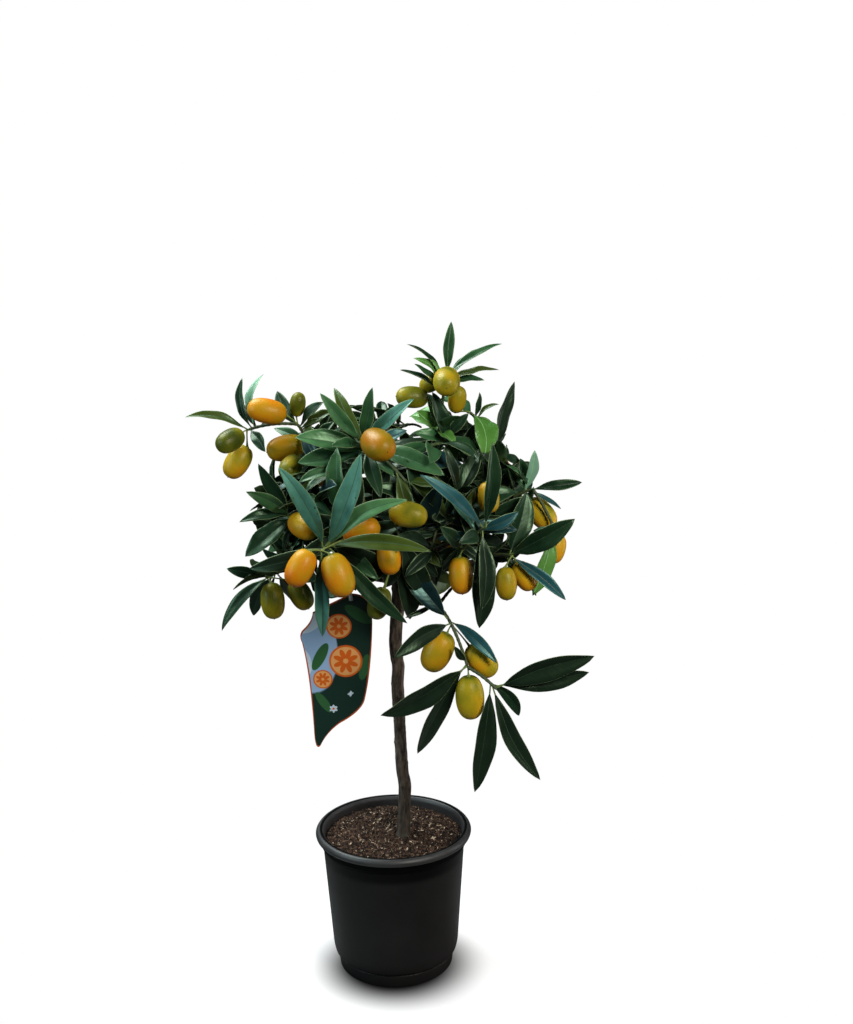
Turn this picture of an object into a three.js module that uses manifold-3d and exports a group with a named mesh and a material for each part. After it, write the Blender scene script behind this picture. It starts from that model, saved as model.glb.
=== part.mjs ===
// Kumquat tree on a short clean stem, in a black nursery pot, with a hanging plant label.
// Units are millimetres, +Z is up. The origin is the middle of the pot's flat underside, +X is to the
// right and -Y is the front, where the tree shows its fullest side.
//
// The trunk, each main bough, each mass of foliage, the pot, the potting soil and the label are
// separate solids. Pieces that touch on the real tree lie SEAT apart.
import * as THREE from 'three';
import { mergeVertices } from 'three/addons/utils/BufferGeometryUtils.js';
import Module from 'manifold-3d';

const wasm = await Module();
wasm.setup();

// ---------------------------------------------------------------- driving dimensions
const SEAT = 0.3; // clearance between two pieces that touch

const POT_HEIGHT = 155;
const POT_RIM_RADIUS = 83; // a 17 cm pot, measured over the lip
const POT_FOOT_RADIUS = 61;
const POT_WALL = 2;
const SOIL_DEPTH_BELOW_RIM = 12;
const SOIL_TOP = POT_HEIGHT - SOIL_DEPTH_BELOW_RIM;

const TRUNK_TOP = 482; // where the leader bough carries on
const CROWN_CENTRE = new THREE.Vector3(8, 5, 508);
const CROWN_RADII = new THREE.Vector3(152, 150, 102);

const LEAF_FULL_LENGTH = 92; // a grown leaf with its stalk
const LEAF_THICKNESS = 1.1;
const LEAF_WIDEST = 0.5; // place of the widest line, as a share of the length
const STALK_RADIUS = 0.55;
const TWIG_TIP_RADIUS = 1.6;
const TWIG_BOW = 0.06; // rise of a twig's middle over the straight line, as a share of its length
const FRUIT_STALK = 8;
const FRUIT_SLIMNESS = 0.68; // width over length
const VIEW_DROP = 0.2; // how far a shoot that leans to the front also lifts its tip

const GOLDEN_ANGLE = THREE.MathUtils.degToRad(137.5);
const UP = new THREE.Vector3(0, 0, 1);

// ---------------------------------------------------------------- small helpers
const vec = (x, y, z) => new THREE.Vector3(x, y, z);
const at = (list) => new THREE.Vector3(...list);

// A repeatable row of numbers from 0 to 1 (mulberry32).
function seeded(seed) {
  let state = seed >>> 0;
  return () => {
    state = (state + 0x6d2b79f5) >>> 0;
    let mixed = Math.imul(state ^ (state >>> 15), state | 1);
    mixed ^= mixed + Math.imul(mixed ^ (mixed >>> 7), mixed | 61);
    return ((mixed ^ (mixed >>> 14)) >>> 0) / 4294967296;
  };
}

// Any closed geometry as a solid.
function solidOf(geometry) {
  const bare = new THREE.BufferGeometry();
  const flat = geometry.index ? geometry.toNonIndexed() : geometry;
  bare.setAttribute('position', flat.getAttribute('position').clone());
  const merged = mergeVertices(bare, 1e-4);
  return new wasm.Manifold(new wasm.Mesh({
    numProp: 3,
    vertProperties: merged.attributes.position.array,
    triVerts: new Uint32Array(merged.index.array),
  }));
}

// The largest connected piece of a solid. Sealed hollows and loose scraps are left out.
function mainBody(solid) {
  const pieces = solid.decompose().filter((piece) => piece.volume() > 0);
  return pieces.reduce((best, piece) => (piece.volume() > best.volume() ? piece : best));
}

function geometryOf(solid) {
  const mesh = solid.getMesh();
  const positions = new Float32Array(mesh.numVert * 3);
  for (let i = 0; i < mesh.numVert; i++) {
    const start = i * mesh.numProp;
    positions.set(mesh.vertProperties.subarray(start, start + 3), i * 3);
  }
  const geometry = new THREE.BufferGeometry();
  geometry.setAttribute('position', new THREE.BufferAttribute(positions, 3));
  geometry.setIndex(new THREE.BufferAttribute(mesh.triVerts, 1));
  return geometry;
}

// A closed geometry from rings of points, each ring with the same count, capped at both ends.
// A ring of one point closes the form to a tip.
function loft(rings) {
  const positions = rings.flat().flatMap((p) => [p.x, p.y, p.z]);
  const starts = [];
  let count = 0;
  for (const ring of rings) {
    starts.push(count);
    count += ring.length;
  }
  const faces = [];
  for (let r = 0; r + 1 < rings.length; r++) {
    const sides = Math.max(rings[r].length, rings[r + 1].length);
    for (let s = 0; s < sides; s++) {
      const next = (s + 1) % sides;
      const low = starts[r] + (rings[r].length > 1 ? s : 0);
      const lowNext = starts[r] + (rings[r].length > 1 ? next : 0);
      const high = starts[r + 1] + (rings[r + 1].length > 1 ? s : 0);
      const highNext = starts[r + 1] + (rings[r + 1].length > 1 ? next : 0);
      if (low !== lowNext) faces.push(low, lowNext, highNext);
      if (high !== highNext) faces.push(low, highNext, high);
    }
  }
  const last = rings.length - 1;
  for (let s = 1; s + 1 < rings[0].length; s++) faces.push(starts[0], starts[0] + s + 1, starts[0] + s);
  for (let s = 1; s + 1 < rings[last].length; s++) {
    faces.push(starts[last], starts[last] + s, starts[last] + s + 1);
  }
  const geometry = new THREE.BufferGeometry();
  geometry.setAttribute('position', new THREE.Float32BufferAttribute(positions, 3));
  geometry.setIndex(faces);
  return geometry;
}

// Two unit vectors square to a direction, turned so that rings follow each other without a twist.
function squareTo(direction) {
  const side = Math.abs(direction.z) > 0.95 ? vec(1, 0, 0) : UP.clone();
  const across = side.cross(direction).normalize();
  return [across, direction.clone().cross(across)];
}

// A tapering limb: a ring of the given radius round each point of a path.
function limb(points, radii, sides) {
  const rings = points.map((point, i) => {
    const before = points[Math.max(i - 1, 0)];
    const after = points[Math.min(i + 1, points.length - 1)];
    const [across, over] = squareTo(after.clone().sub(before).normalize());
    return Array.from({ length: sides }, (_, s) => {
      const turn = (2 * Math.PI * s) / sides;
      return point.clone()
        .addScaledVector(across, radii[i] * Math.cos(turn))
        .addScaledVector(over, radii[i] * Math.sin(turn));
    });
  });
  return solidOf(loft(rings));
}

// ---------------------------------------------------------------- pot and soil
const POT_SEGMENTS = 32;
const POT_FLOOR = 3;
const FOOT_HEIGHT = 14; // the plain ring under the groove
const BODY_LOW_RADIUS = 67;
const BODY_TOP_RADIUS = 75;
const SHOULDER_HEIGHT = 139; // the step under the lip
const LIP_BOTTOM = POT_HEIGHT - 8;
const DRAIN_HOLES = 6;
const DRAIN_HOLE_RADIUS = 4.5;
const DRAIN_CIRCLE_RADIUS = 40;

const lathed = (profile) => new THREE.LatheGeometry(
  profile.map(([radius, height]) => new THREE.Vector2(radius, height)),
  POT_SEGMENTS,
).rotateX(Math.PI / 2);

// The pot's inner face from the floor to the shoulder, or the soil's side when drawn in by a gap.
const cavity = (gap) => [
  [POT_FOOT_RADIUS - POT_WALL - gap, POT_FLOOR + gap],
  [POT_FOOT_RADIUS - POT_WALL - gap, FOOT_HEIGHT + 4 + gap],
  [BODY_LOW_RADIUS - POT_WALL - gap, FOOT_HEIGHT + 12 + gap],
  [BODY_TOP_RADIUS - POT_WALL - gap, SHOULDER_HEIGHT],
];

function makePot() {
  const inside = BODY_TOP_RADIUS - POT_WALL;
  const shell = solidOf(lathed([
    [0, 0],
    [POT_FOOT_RADIUS, 0],
    [POT_FOOT_RADIUS + 1, FOOT_HEIGHT - 1],
    [BODY_LOW_RADIUS - 2, FOOT_HEIGHT + 4],
    [BODY_LOW_RADIUS, FOOT_HEIGHT + 11],
    [BODY_TOP_RADIUS, SHOULDER_HEIGHT - 1],
    [BODY_TOP_RADIUS + 2, SHOULDER_HEIGHT],
    [BODY_TOP_RADIUS + 2.5, LIP_BOTTOM],
    [POT_RIM_RADIUS - 1, LIP_BOTTOM],
    [POT_RIM_RADIUS, LIP_BOTTOM + 3],
    [POT_RIM_RADIUS - 3, POT_HEIGHT],
    [inside + 2, POT_HEIGHT],
    [inside, POT_HEIGHT - 3],
    ...cavity(0).reverse(),
    [0, POT_FLOOR],
  ]));
  const holes = Array.from({ length: DRAIN_HOLES }, (_, i) => {
    const turn = (2 * Math.PI * (i + 0.5)) / DRAIN_HOLES;
    const drill = new THREE.CylinderGeometry(DRAIN_HOLE_RADIUS, DRAIN_HOLE_RADIUS, POT_FLOOR * 4, 8);
    drill.rotateX(Math.PI / 2);
    drill.translate(DRAIN_CIRCLE_RADIUS * Math.cos(turn), DRAIN_CIRCLE_RADIUS * Math.sin(turn), 0);
    return solidOf(drill);
  });
  return shell.subtract(wasm.Manifold.union(holes));
}

// The soil is a turned block whose top is higher round the trunk and dips towards the wall.
function makeSoil() {
  const side = cavity(SEAT + 0.05);
  return solidOf(lathed([
    [0, POT_FLOOR + SEAT + 0.05],
    ...side,
    [side.at(-1)[0], SOIL_TOP - 3],
    [60, SOIL_TOP - 1],
    [38, SOIL_TOP - 2],
    [24, SOIL_TOP],
    [0, SOIL_TOP],
  ]));
}

// ---------------------------------------------------------------- trunk
// Height, sideways and front-to-back place of the trunk's middle, and its radius.
const TRUNK_STATIONS = [
  [SOIL_TOP + SEAT, 11, 0, 9.5],
  [148, 11, 0, 7.4],
  [156, 11.3, 0.3, 6.9],
  [185, 12.5, 1, 6.6],
  [203, 13, 0.5, 6.8],
  [216, 11, -0.5, 6.6],
  [240, 9.8, -1, 6.3],
  [272, 9, 0, 6.3],
  [300, 8.2, 1.5, 6.7],
  [314, 7.8, 1.5, 6.6],
  [332, 9, 0.5, 6.5],
  [352, 6.8, -0.5, 6.7],
  [380, 8, 0, 6.7],
  [412, 11, 0.5, 7],
  [446, 12, 1, 6.2],
  [TRUNK_TOP, 14, 0, 4.8],
];
const TRUNK_SIDES = 10;

function makeTrunk(clearance = 0) {
  const points = TRUNK_STATIONS.map(([z, x, y]) => vec(x, y, z));
  const radii = TRUNK_STATIONS.map((station) => station[3] + clearance);
  if (clearance) {
    points[0].z -= clearance;
    points.at(-1).z += clearance;
  }
  const rings = points.map((point, i) => Array.from({ length: TRUNK_SIDES }, (_, s) => {
    const turn = (2 * Math.PI * s) / TRUNK_SIDES;
    return vec(point.x + radii[i] * Math.cos(turn), point.y + radii[i] * Math.sin(turn), point.z);
  }));
  return solidOf(loft(rings));
}

// The middle of the trunk at a height.
function trunkMiddle(height) {
  const next = Math.max(TRUNK_STATIONS.findIndex(([z]) => z >= height), 1);
  const [lowZ, lowX, lowY] = TRUNK_STATIONS[next - 1];
  const [highZ, highX, highY] = TRUNK_STATIONS[next];
  const share = (height - lowZ) / (highZ - lowZ);
  return vec(lowX + (highX - lowX) * share, lowY + (highY - lowY) * share, height);
}

// ---------------------------------------------------------------- the crown's plan
// Each mass of foliage hangs on one bough. A bough leaves the trunk at the height `foot` and ends at
// `tip`. The mass's shoots end at the places `end`, and `inner` counts the shoots that the growth
// rule adds.
//
// A leaf is [clock, reach, front, broad, facing, bow]: the way it points seen from the front, in
// degrees clockwise from straight up; how far across the front it reaches, in mm; how far its tip
// stands in front of the shoot's end, or null where the rest of a grown leaf's length decides; its
// share of the usual width; how much its upper face turns to the front; and how far its middle bows
// across the front, clockwise, as a share of its length. What is left out is as in LEAF_HABIT.
//
// A fruit is [clock, reach to its middle, length, ripeness from 0 green to 1 orange, front, hang,
// toward]: `hang` is the way its long axis points, or null where that is away from the shoot's end,
// and `toward` how much the axis turns to the front. What is left out is as in FRUIT_HABIT.
const LEAF_HABIT = [null, 1, 0.3, 0];
const FRUIT_HABIT = [null, null, 0.2];
const MASSES = [
  { name: 'spire', foot: TRUNK_TOP, tip: [42, -2, 548], inner: 1, shoots: [
    { end: [56, -5, 586],
      leaves: [[-58, 27, 14, 1.8, 1.4, -0.1], [-19, 35, 4, 1.4, 1], [146, 24, 20, 1.5, 1.4],
        [-110, 34, 10, 1, 1], [72, 22]],
      fruits: [[-44, 39, 32, 0.15, 12, -84]] },
    { end: [63, -10, 638],
      leaves: [[6, 52, -8, 0.85, 1], [62, 63, -14, 0.6, 0.6, -0.05], [53, 43, -20, 0.8, 0.2],
        [87, 52, 0, 0.8, 0.6, -0.05], [101, 38, 0, 1, 0.8], [-52, 49, -5, 0.7, 0.4, 0.05],
        [-64, 36, 10, 1.1, 1, 0.1], [-73, 33, 0, 1, 0.6], [-85, 46, 0, 1, 0.4]],
      fruits: [[-178, 9, 39, 0.5, 22], [-118, 17, 27, 0.3, -10]] },
  ] },
  { name: 'right_top', foot: 471, tip: [76, 8, 530], inner: 2, shoots: [
    { end: [115, 10, 555],
      leaves: [[13, 74, -10, 0.95, 0.5, -0.11], [155, 49], [-115, 23], [121, 37]],
      fruits: [] },
    { end: [86, 0, 598],
      leaves: [[163, 40, 34, 1.4, 1.2, -0.06], [144, 36, 16, 1.4, 1.4, -0.1],
        [-66, 31, 25, 1.1, 0.9], [26, 22, 0, 1.2, 0.6], [76, 30, 0, 0.9, 0.6, -0.08],
        [-168, 39, 10, 1.2, 1], [171, 60, 20, 1.1, 1]],
      fruits: [[-44, 18, 28, 0.4, -4, 10]] },
  ] },
  { name: 'left_arm', foot: 456, tip: [-52, -2, 536], inner: 1, shoots: [
    { end: [-75, -10, 570],
      leaves: [[4, 29, -30], [-64, 40, 30, 1, 0.8], [50, 35, 0, 1.4, 1.2],
        [80, 32, 10, 1.6, 1.2, -0.12], [115, 47, 10, 1.3, 1], [171, 41, -20, 1.3, 1]],
      fruits: [[-99, 21, 39, 0.7, 14, -100], [-148, 27, 32, 0.25, 30]] },
    { end: [-84, -20, 592],
      leaves: [[-32, 41, -30, 1.2, 1, -0.08], [52, 34, 10, 1.3, 1], [76, 22, 16, 1, 1],
        [71, 38, 10, 1.4, 1.2], [112, 20, 20], [158, 24, 16]],
      fruits: [[-65, 31, 39, 0.85, 6, -75], [0, 20, 25, 0.2, -8, 10]] },
    { end: [-134, -20, 587],
      leaves: [[-77, 60, 10, 0.7, 0.7, 0.07], [138, 30, 24, 1.4, 1], [-4, 53, -12, 0.75, 0.7, -0.12],
        [16, 59, 8, 0.8, 0.6, -0.09], [-14, 28, -20], [75, 26, 26, 1.1, 1]],
      fruits: [[-125, 18, 32, 0.1], [-162, 33, 36, 0.55, 2, -146]] },
  ] },
  { name: 'left_mid', foot: 444, tip: [-56, -30, 492], inner: 2, shoots: [
    { end: [-94, -60, 509],
      leaves: [[-24, 57, 20, 1, 1, 0.07], [-54, 43, 30, 0.95, 1, 0.06], [-96, 44, 20, 0.9, 0.8, 0.1],
        [-134, 56, 15, 1.4, 1], [-126, 28, -25], [-173, 36], [35, 45, 40]],
      fruits: [[118, 20, 38, 0.6, 22]] },
  ] },
  { name: 'low_left', foot: 424, tip: [-72, -32, 448], inner: 1, shoots: [
    { end: [-117, -60, 448],
      leaves: [[-76, 39, 0, 1.2, 0.6], [-108, 28], [-140, 70, 5, 0.8, 0.4, 0.06],
        [-155, 48, 24, 1, 1], [175, 32, 34, 0.7, 0.6], [129, 49, 30, 1.1, 1], [-27, 22]],
      fruits: [[164, 24, 36, 0.3, 8, 176], [119, 38, 32, 0.2, 4, 150]] },
  ] },
  { name: 'front_left', foot: 434, tip: [-30, -80, 486], inner: 1, shoots: [
    { end: [-57, -130, 492],
      leaves: [[-178, 86, 34, 0.6, 1.2], [-23, 86, 20, 0.75, 1, 0.09], [24, 99, 14, 0.8, 1, 0.06],
        [60, 94, 16, 0.65, 0.8, -0.07], [91, 102, 10, 0.6, 0.8, -0.08], [133, 107, -12, 0.6, 0.5],
        [-104, 71, -14, 0.8, 0.6, -0.05]],
      fruits: [[-130, 24, 37, 0.9, null, -150], [146, 28, 42, 0.78, null, 160],
        [66, 41, 37, 0.85, -32, 64]] },
  ] },
  { name: 'top_front', foot: 467, tip: [-8, -45, 548], inner: 2, shoots: [
    { end: [-19, -80, 585],
      leaves: [[-39, 58, 15, 0.85, 1, -0.03], [14, 51, 20, 0.9, 1], [53, 63, 20, 0.85, 1],
        [-102, 27, 35, 1.1, 1], [-27, 60, -45, 0.7, 0.5], [162, 58, 30], [114, 85],
        [77, 44, -20, 1.2, 1]],
      fruits: [[105, 17, 44, 0.85, 30, 110, 2]] },
  ] },
  { name: 'front', foot: 452, tip: [16, -68, 482], inner: 2, shoots: [
    { end: [16, -110, 496],
      leaves: [[138, 52, -20, 1, 0.8], [84, 33, -20, 1, 0.8], [175, 82, -30], [48, 64, -25],
        [-18, 43, -30], [-27, 54, -50]],
      fruits: [[18, 26, 36, 0.4, 16, 98], [-145, 19, 37, 0.9, -8, 176, 0.5], [-161, 65, 32, 0.1]] },
  ] },
  { name: 'front_right', foot: 441, tip: [62, -72, 482], inner: 1, shoots: [
    { end: [75, -90, 480],
      leaves: [[-14, 42, -10], [-41, 33], [-134, 31, -20]],
      fruits: [[-174, 24, 36, 0.85, 16, 176]] },
    { end: [96, -115, 508],
      leaves: [[4, 80, 14, 0.75, 0.6], [-50, 79, 20, 0.65, 0.5, 0.02], [-176, 79, 16, 0.9, 1],
        [-176, 99, -8, 1, 1], [66, 34, -10, 1.2, 1], [-115, 29], [-53, 39, -20], [-105, 47, -15]],
      fruits: [[8, 28, 30, 0.65, -26, 175]] },
  ] },
  { name: 'low_right', foot: 430, tip: [84, -44, 456], inner: 1, shoots: [
    { end: [122, -85, 472],
      leaves: [[131, 67, 12, 0.75, 1], [14, 64, -20, 1.5, 1.4], [59, 69, 8, 1.2, 1], [175, 42, -30],
        [149, 52, -40]],
      fruits: [[-166, 27, 32, 0.5, 14, 178], [150, 24, 31, 0.85, 2, 150]] },
  ] },
  { name: 'far_right', foot: 458, tip: [98, -14, 494], inner: 2, shoots: [
    { end: [146, -30, 525],
      leaves: [[83, 49, 0, 0.9, 0.6], [126, 36, -4, 0.6, 0.8], [-45, 35, -10, 1.4, 1],
        [-19, 33, -15, 1.4, 1], [3, 39, 0, 0.8, 0.6], [-150, 40, -20]],
      fruits: [[160, 27, 37, 0.55, -14, 138]] },
    { end: [168, -35, 483],
      leaves: [[-88, 22, 0, 1.2, 1], [-167, 69, 4, 1.1, 1]],
      fruits: [[176, 18, 30, 0.7, -6, -165]] },
  ] },
  { name: 'hanging', foot: 417, tip: [36, -42, 438], inner: 0, shoots: [
    { end: [51, -80, 422],
      leaves: [[-44, 55, null, 1, 0.8], [-108, 34, 10, 0.6, 0.5]],
      fruits: [] },
    { end: [63, -100, 409],
      leaves: [[-116, 61, null, 1, 0.6, 0.06], [131, 56, 20, 0.8, 0.8, -0.09]],
      fruits: [[-153, 30, 42, 0.55], [142, 46, 38, 0.45]] },
    { end: [78, -110, 369],
      leaves: [[-119, 97], [-152, 107, null, 0.6, 0.6, 0.06], [-30, 26, 0, 1.3, 1]],
      fruits: [[177, 30, 44, 0.3]] },
    { end: [105, -120, 350],
      leaves: [[71, 98, null, 1, 0.6, -0.05], [82, 91, -20, 0.9, 0.6, -0.04],
        [156, 102, null, 0.65, 0.6, 0.05], [-168, 107, null, 0.8, 0.6], [144, 38, -20, 0.9, 0.8, -0.1]],
      fruits: [] },
    { end: [70, -84, 446],
      leaves: [],
      fruits: [] },
  ] },
  { name: 'back_left', foot: 437, tip: [-58, 50, 500], inner: 5, shoots: [] },
  { name: 'back', foot: 447, tip: [4, 62, 520], inner: 5, shoots: [] },
  { name: 'back_right', foot: 440, tip: [68, 52, 494], inner: 5, shoots: [] },
  { name: 'back_top', foot: 461, tip: [2, 30, 564], inner: 3, shoots: [] },
  { name: 'back_low', foot: 422, tip: [10, 58, 448], inner: 4, shoots: [] },
];

// ---------------------------------------------------------------- boughs
const BOUGH_SIDES = 5;
const BOUGH_FOOT_RADIUS = 3.4;
const BOUGH_TIP_RADIUS = 2.1;
const BOUGH_STEPS = 4;
const STEM_LENGTH = 6;

// A bough leaves the trunk at a slant, then bends up towards its tip: a quadratic curve.
function boughCurve(mass) {
  const foot = trunkMiddle(mass.foot);
  const tip = at(mass.tip);
  const knee = foot.clone().lerp(tip, 0.58);
  knee.z = foot.z + 0.42 * (tip.z - foot.z) + 3;
  return new THREE.QuadraticBezierCurve3(foot, knee, tip);
}

// The path of a bough as straight steps, the way it points at its end, and the two ends of the short
// stem that carries the mass on from there.
function boughPath(mass) {
  const points = boughCurve(mass).getPoints(BOUGH_STEPS);
  const end = points.at(-1);
  const way = end.clone().sub(points.at(-2)).normalize();
  const stemStart = end.clone().addScaledVector(way, SEAT + 0.02);
  return { points, way, stemStart, stemEnd: end.clone().addScaledVector(way, STEM_LENGTH) };
}

function makeBough(mass, trunkGap) {
  const { points } = boughPath(mass);
  const radii = points.map((_, i) => {
    const share = i / BOUGH_STEPS;
    return BOUGH_FOOT_RADIUS + (BOUGH_TIP_RADIUS - BOUGH_FOOT_RADIUS) * share;
  });
  return mainBody(limb(points, radii, BOUGH_SIDES).subtract(trunkGap));
}

// ---------------------------------------------------------------- growth rule
const INNER_SPACING = 30; // least distance between two shoot ends
const INNER_TRIES = 200;
const CROWN_CORE = 0.8; // shoots end inside this share of the crown, and their leaves inside all of it
const INNER_LEAVES = 6;
const LEAF_STEP = 2.2; // distance between two leaves along a shoot
const DEPTH_TURNS = [1, 0.7, 1.3, 0.4, 0, -0.5, -1]; // shares of a leaf's lean to the front to try
const CLOCK_TURNS = [0, 25, -25, 50, -50]; // degrees round the shoot to try
const LENGTH_SHARES = [1, 0.8, 0.62]; // shares of a grown leaf's length to try

// How far out in the crown a point lies: 0 in the middle, 1 on the skin.
function crownShare(point) {
  return point.clone().sub(CROWN_CENTRE).divide(CROWN_RADII).length();
}

// Adds each mass's inner shoots. A shoot ends near the bough's tip, on its outer side, inside the
// crown, and clear of every other shoot's end.
function addInnerShoots(masses) {
  const ends = masses.flatMap((mass) => mass.shoots.map((shoot) => at(shoot.end)));
  masses.forEach((mass, m) => {
    const random = seeded(101 + m);
    const tip = at(mass.tip);
    const outward = tip.clone().sub(CROWN_CENTRE).normalize();
    mass.grown = [];
    for (let n = 0; n < INNER_TRIES && mass.grown.length < mass.inner; n++) {
      const way = vec(random() - 0.5, random() - 0.5, random() - 0.5).normalize();
      way.addScaledVector(outward, 0.9).normalize();
      const end = tip.clone().addScaledVector(way, 26 + 40 * random());
      const clear = ends.every((other) => other.distanceTo(end) > INNER_SPACING);
      const ahead = end.clone().sub(tip).dot(boughPath(mass).way) > 8;
      if (!clear || !ahead || crownShare(end) > CROWN_CORE) continue;
      ends.push(end);
      mass.grown.push({ end, roll: 2 * Math.PI * random(), fruit: random() < 0.42, ripeness: random() });
    }
  });
}

// The end of each twig and the place it starts from: the nearest earlier end of its own mass.
function twigPlan(mass) {
  const starts = [boughPath(mass).stemEnd];
  const ends = [...mass.shoots.map((shoot) => at(shoot.end)), ...mass.grown.map((shoot) => shoot.end)];
  return ends.map((end) => {
    const start = starts.reduce((a, b) => (a.distanceTo(end) <= b.distanceTo(end) ? a : b));
    starts.push(end);
    const middle = start.clone().lerp(end, 0.5);
    middle.z += TWIG_BOW * start.distanceTo(end);
    return { start, middle, end };
  });
}

// The place on a twig at a distance back from its end.
function backAlong({ start, middle, end }, distance) {
  const half = middle.distanceTo(end);
  if (distance <= half) return end.clone().lerp(middle, distance / half);
  return middle.clone().lerp(start, Math.min((distance - half) / middle.distanceTo(start), 1));
}

// The upper face of a leaf looks up, out of the crown and some way to the front, as far as its own
// direction lets it.
function leafFace(base, direction, roll, facing) {
  const outward = base.clone().sub(CROWN_CENTRE).normalize();
  const face = UP.clone().multiplyScalar(0.55).addScaledVector(outward, 0.8);
  face.y -= facing;
  face.addScaledVector(direction, -face.dot(direction)).normalize();
  return face.applyAxisAngle(direction, roll);
}

// Lays out every leaf and fruit of a mass. Each has variants: the same leaf turned nearer to or
// further from the front, of which the first that finds room is used.
function growMass(mass, index) {
  const twigs = twigPlan(mass);
  const leaves = [];
  const fruits = [];
  const random = seeded(501 + index);
  // Adds a leaf with one variant for each tip. Its rise is how far its middle stands off the line
  // from base to tip: an arch over its upper face, and a listed leaf's bow across the front.
  const addLeaf = (base, tips, named, broad = 1, facing = 0, bow = vec(0, 0, 0)) => {
    let wide = 0.24 + 0.05 * random();
    let arched = 0.04 + 0.06 * random();
    let roll = 0.7 * (random() - 0.5);
    if (named) {
      wide = 0.25 * broad;
      arched *= 0.6;
      roll = 0;
    }
    const variants = tips.map((tip) => {
      const direction = tip.clone().sub(base);
      const length = direction.length();
      direction.normalize();
      const face = leafFace(base, direction, roll, facing);
      const rise = face.clone().multiplyScalar(arched).add(bow);
      rise.addScaledVector(direction, -bow.dot(direction)).multiplyScalar(length);
      return { base, direction, length, face, width: wide * length, rise };
    });
    leaves.push({ variants, named });
  };
  // A listed leaf or fruit is tried with its depth turned by DEPTH_TURNS.
  mass.shoots.forEach((shoot, s) => {
    const twig = twigs[s];
    const { end } = twig;
    const inFront = (clock, reach, forward) => {
      const turn = THREE.MathUtils.degToRad(clock);
      return vec(reach * Math.sin(turn), -forward, reach * Math.cos(turn) + VIEW_DROP * forward).add(end);
    };
    shoot.leaves.forEach((leaf, k) => {
      const [clock, reach, front, broad, facing, bow] = [...leaf, ...LEAF_HABIT.slice(leaf.length - 2)];
      const length = Math.max(reach, Math.sqrt(reach * LEAF_FULL_LENGTH));
      const side = end.y < -50 || k % 2 === 0 ? 1 : -1;
      const forward = front ?? side * Math.sqrt(length * length - reach * reach);
      const tips = DEPTH_TURNS.map(
        (turn) => inFront(clock, reach, forward * turn + LEAF_FULL_LENGTH * (turn - 1) / 4),
      );
      const turn = THREE.MathUtils.degToRad(clock);
      const sideways = vec(bow * Math.cos(turn), 0, -bow * Math.sin(turn));
      addLeaf(backAlong(twig, 1.5 + LEAF_STEP * k), tips, true, broad, facing, sideways);
    });
    shoot.fruits.forEach((fruit) => {
      const [clock, reach, length, ripeness, front, hang, toward] = [
        ...fruit, ...FRUIT_HABIT.slice(fruit.length - 4),
      ];
      const distance = Math.max(reach, FRUIT_STALK + length / 2);
      const forward = front ?? Math.sqrt(distance * distance - reach * reach);
      const turn = THREE.MathUtils.degToRad(hang ?? 0);
      const variants = DEPTH_TURNS.map((depth) => {
        const middle = inFront(clock, reach, forward * depth + 12 * (depth - 1));
        const axis = hang === null ? middle.clone().sub(end) : vec(Math.sin(turn), -toward, Math.cos(turn));
        return { base: end, middle, length, axis: axis.normalize() };
      });
      fruits.push({ variants, ripeness, named: true });
    });
  });
  mass.grown.forEach((shoot, g) => {
    const twig = twigs[mass.shoots.length + g];
    const { start, end } = twig;
    const outward = end.clone().sub(CROWN_CENTRE).normalize();
    const axis = end.clone().sub(start).normalize().addScaledVector(outward, 0.6).addScaledVector(UP, 0.35);
    axis.normalize();
    const [across, over] = squareTo(axis);
    for (let k = 0; k < INNER_LEAVES; k++) {
      const lean = THREE.MathUtils.degToRad(32 + 9 * k);
      const length = 58 + 30 * random();
      const base = backAlong(twig, 1.5 + 3.5 * k);
      const tips = CLOCK_TURNS.flatMap((degrees) => {
        const turn = shoot.roll + k * GOLDEN_ANGLE + THREE.MathUtils.degToRad(degrees);
        const way = axis.clone().multiplyScalar(Math.cos(lean))
          .addScaledVector(across, Math.sin(lean) * Math.cos(turn))
          .addScaledVector(over, Math.sin(lean) * Math.sin(turn));
        return LENGTH_SHARES.map((share) => base.clone().addScaledVector(way, length * share));
      });
      addLeaf(base, tips.filter((tip) => crownShare(tip) < 1), false);
    }
    if (shoot.fruit) {
      const length = 32 + 8 * random();
      const hang = vec(random() - 0.5, random() - 0.5, -0.9).addScaledVector(outward, 0.8).normalize();
      const middle = end.clone().addScaledVector(hang, FRUIT_STALK + length / 2);
      fruits.push({
        variants: [{ base: end, middle, length, axis: hang }],
        ripeness: shoot.ripeness,
        named: false,
      });
    }
  });
  return { twigs, leaves, fruits };
}

// ---------------------------------------------------------------- solids of a mass
// A twig: three sides, with a slight bow, thinner towards its end.
function twigSolid({ start, middle, end }, startRadius) {
  return limb([start, middle, end], [startRadius, TWIG_TIP_RADIUS * 1.1, TWIG_TIP_RADIUS], 3);
}

// A leaf of ten faces: its root is a small triangle inside the twig, and its blade is flat above, has
// its midrib below and ends in a point.
function leafSolid({ base, direction, length, width, rise, face }) {
  const side = face.clone().cross(direction);
  const place = (along, across, over) => base.clone()
    .addScaledVector(direction, along * length)
    .addScaledVector(side, across)
    .addScaledVector(face, over)
    .addScaledVector(rise, 4 * along * (1 - along));
  const ring = (along, half, below) => [
    place(along, half, 0), place(along, -half, 0), place(along, 0, -below),
  ];
  const keel = Math.max(LEAF_THICKNESS, length / 70);
  return solidOf(loft([
    ring(0, STALK_RADIUS, STALK_RADIUS),
    ring(LEAF_WIDEST, width / 2, keel),
    [place(1, 0, 0)],
  ]));
}

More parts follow.
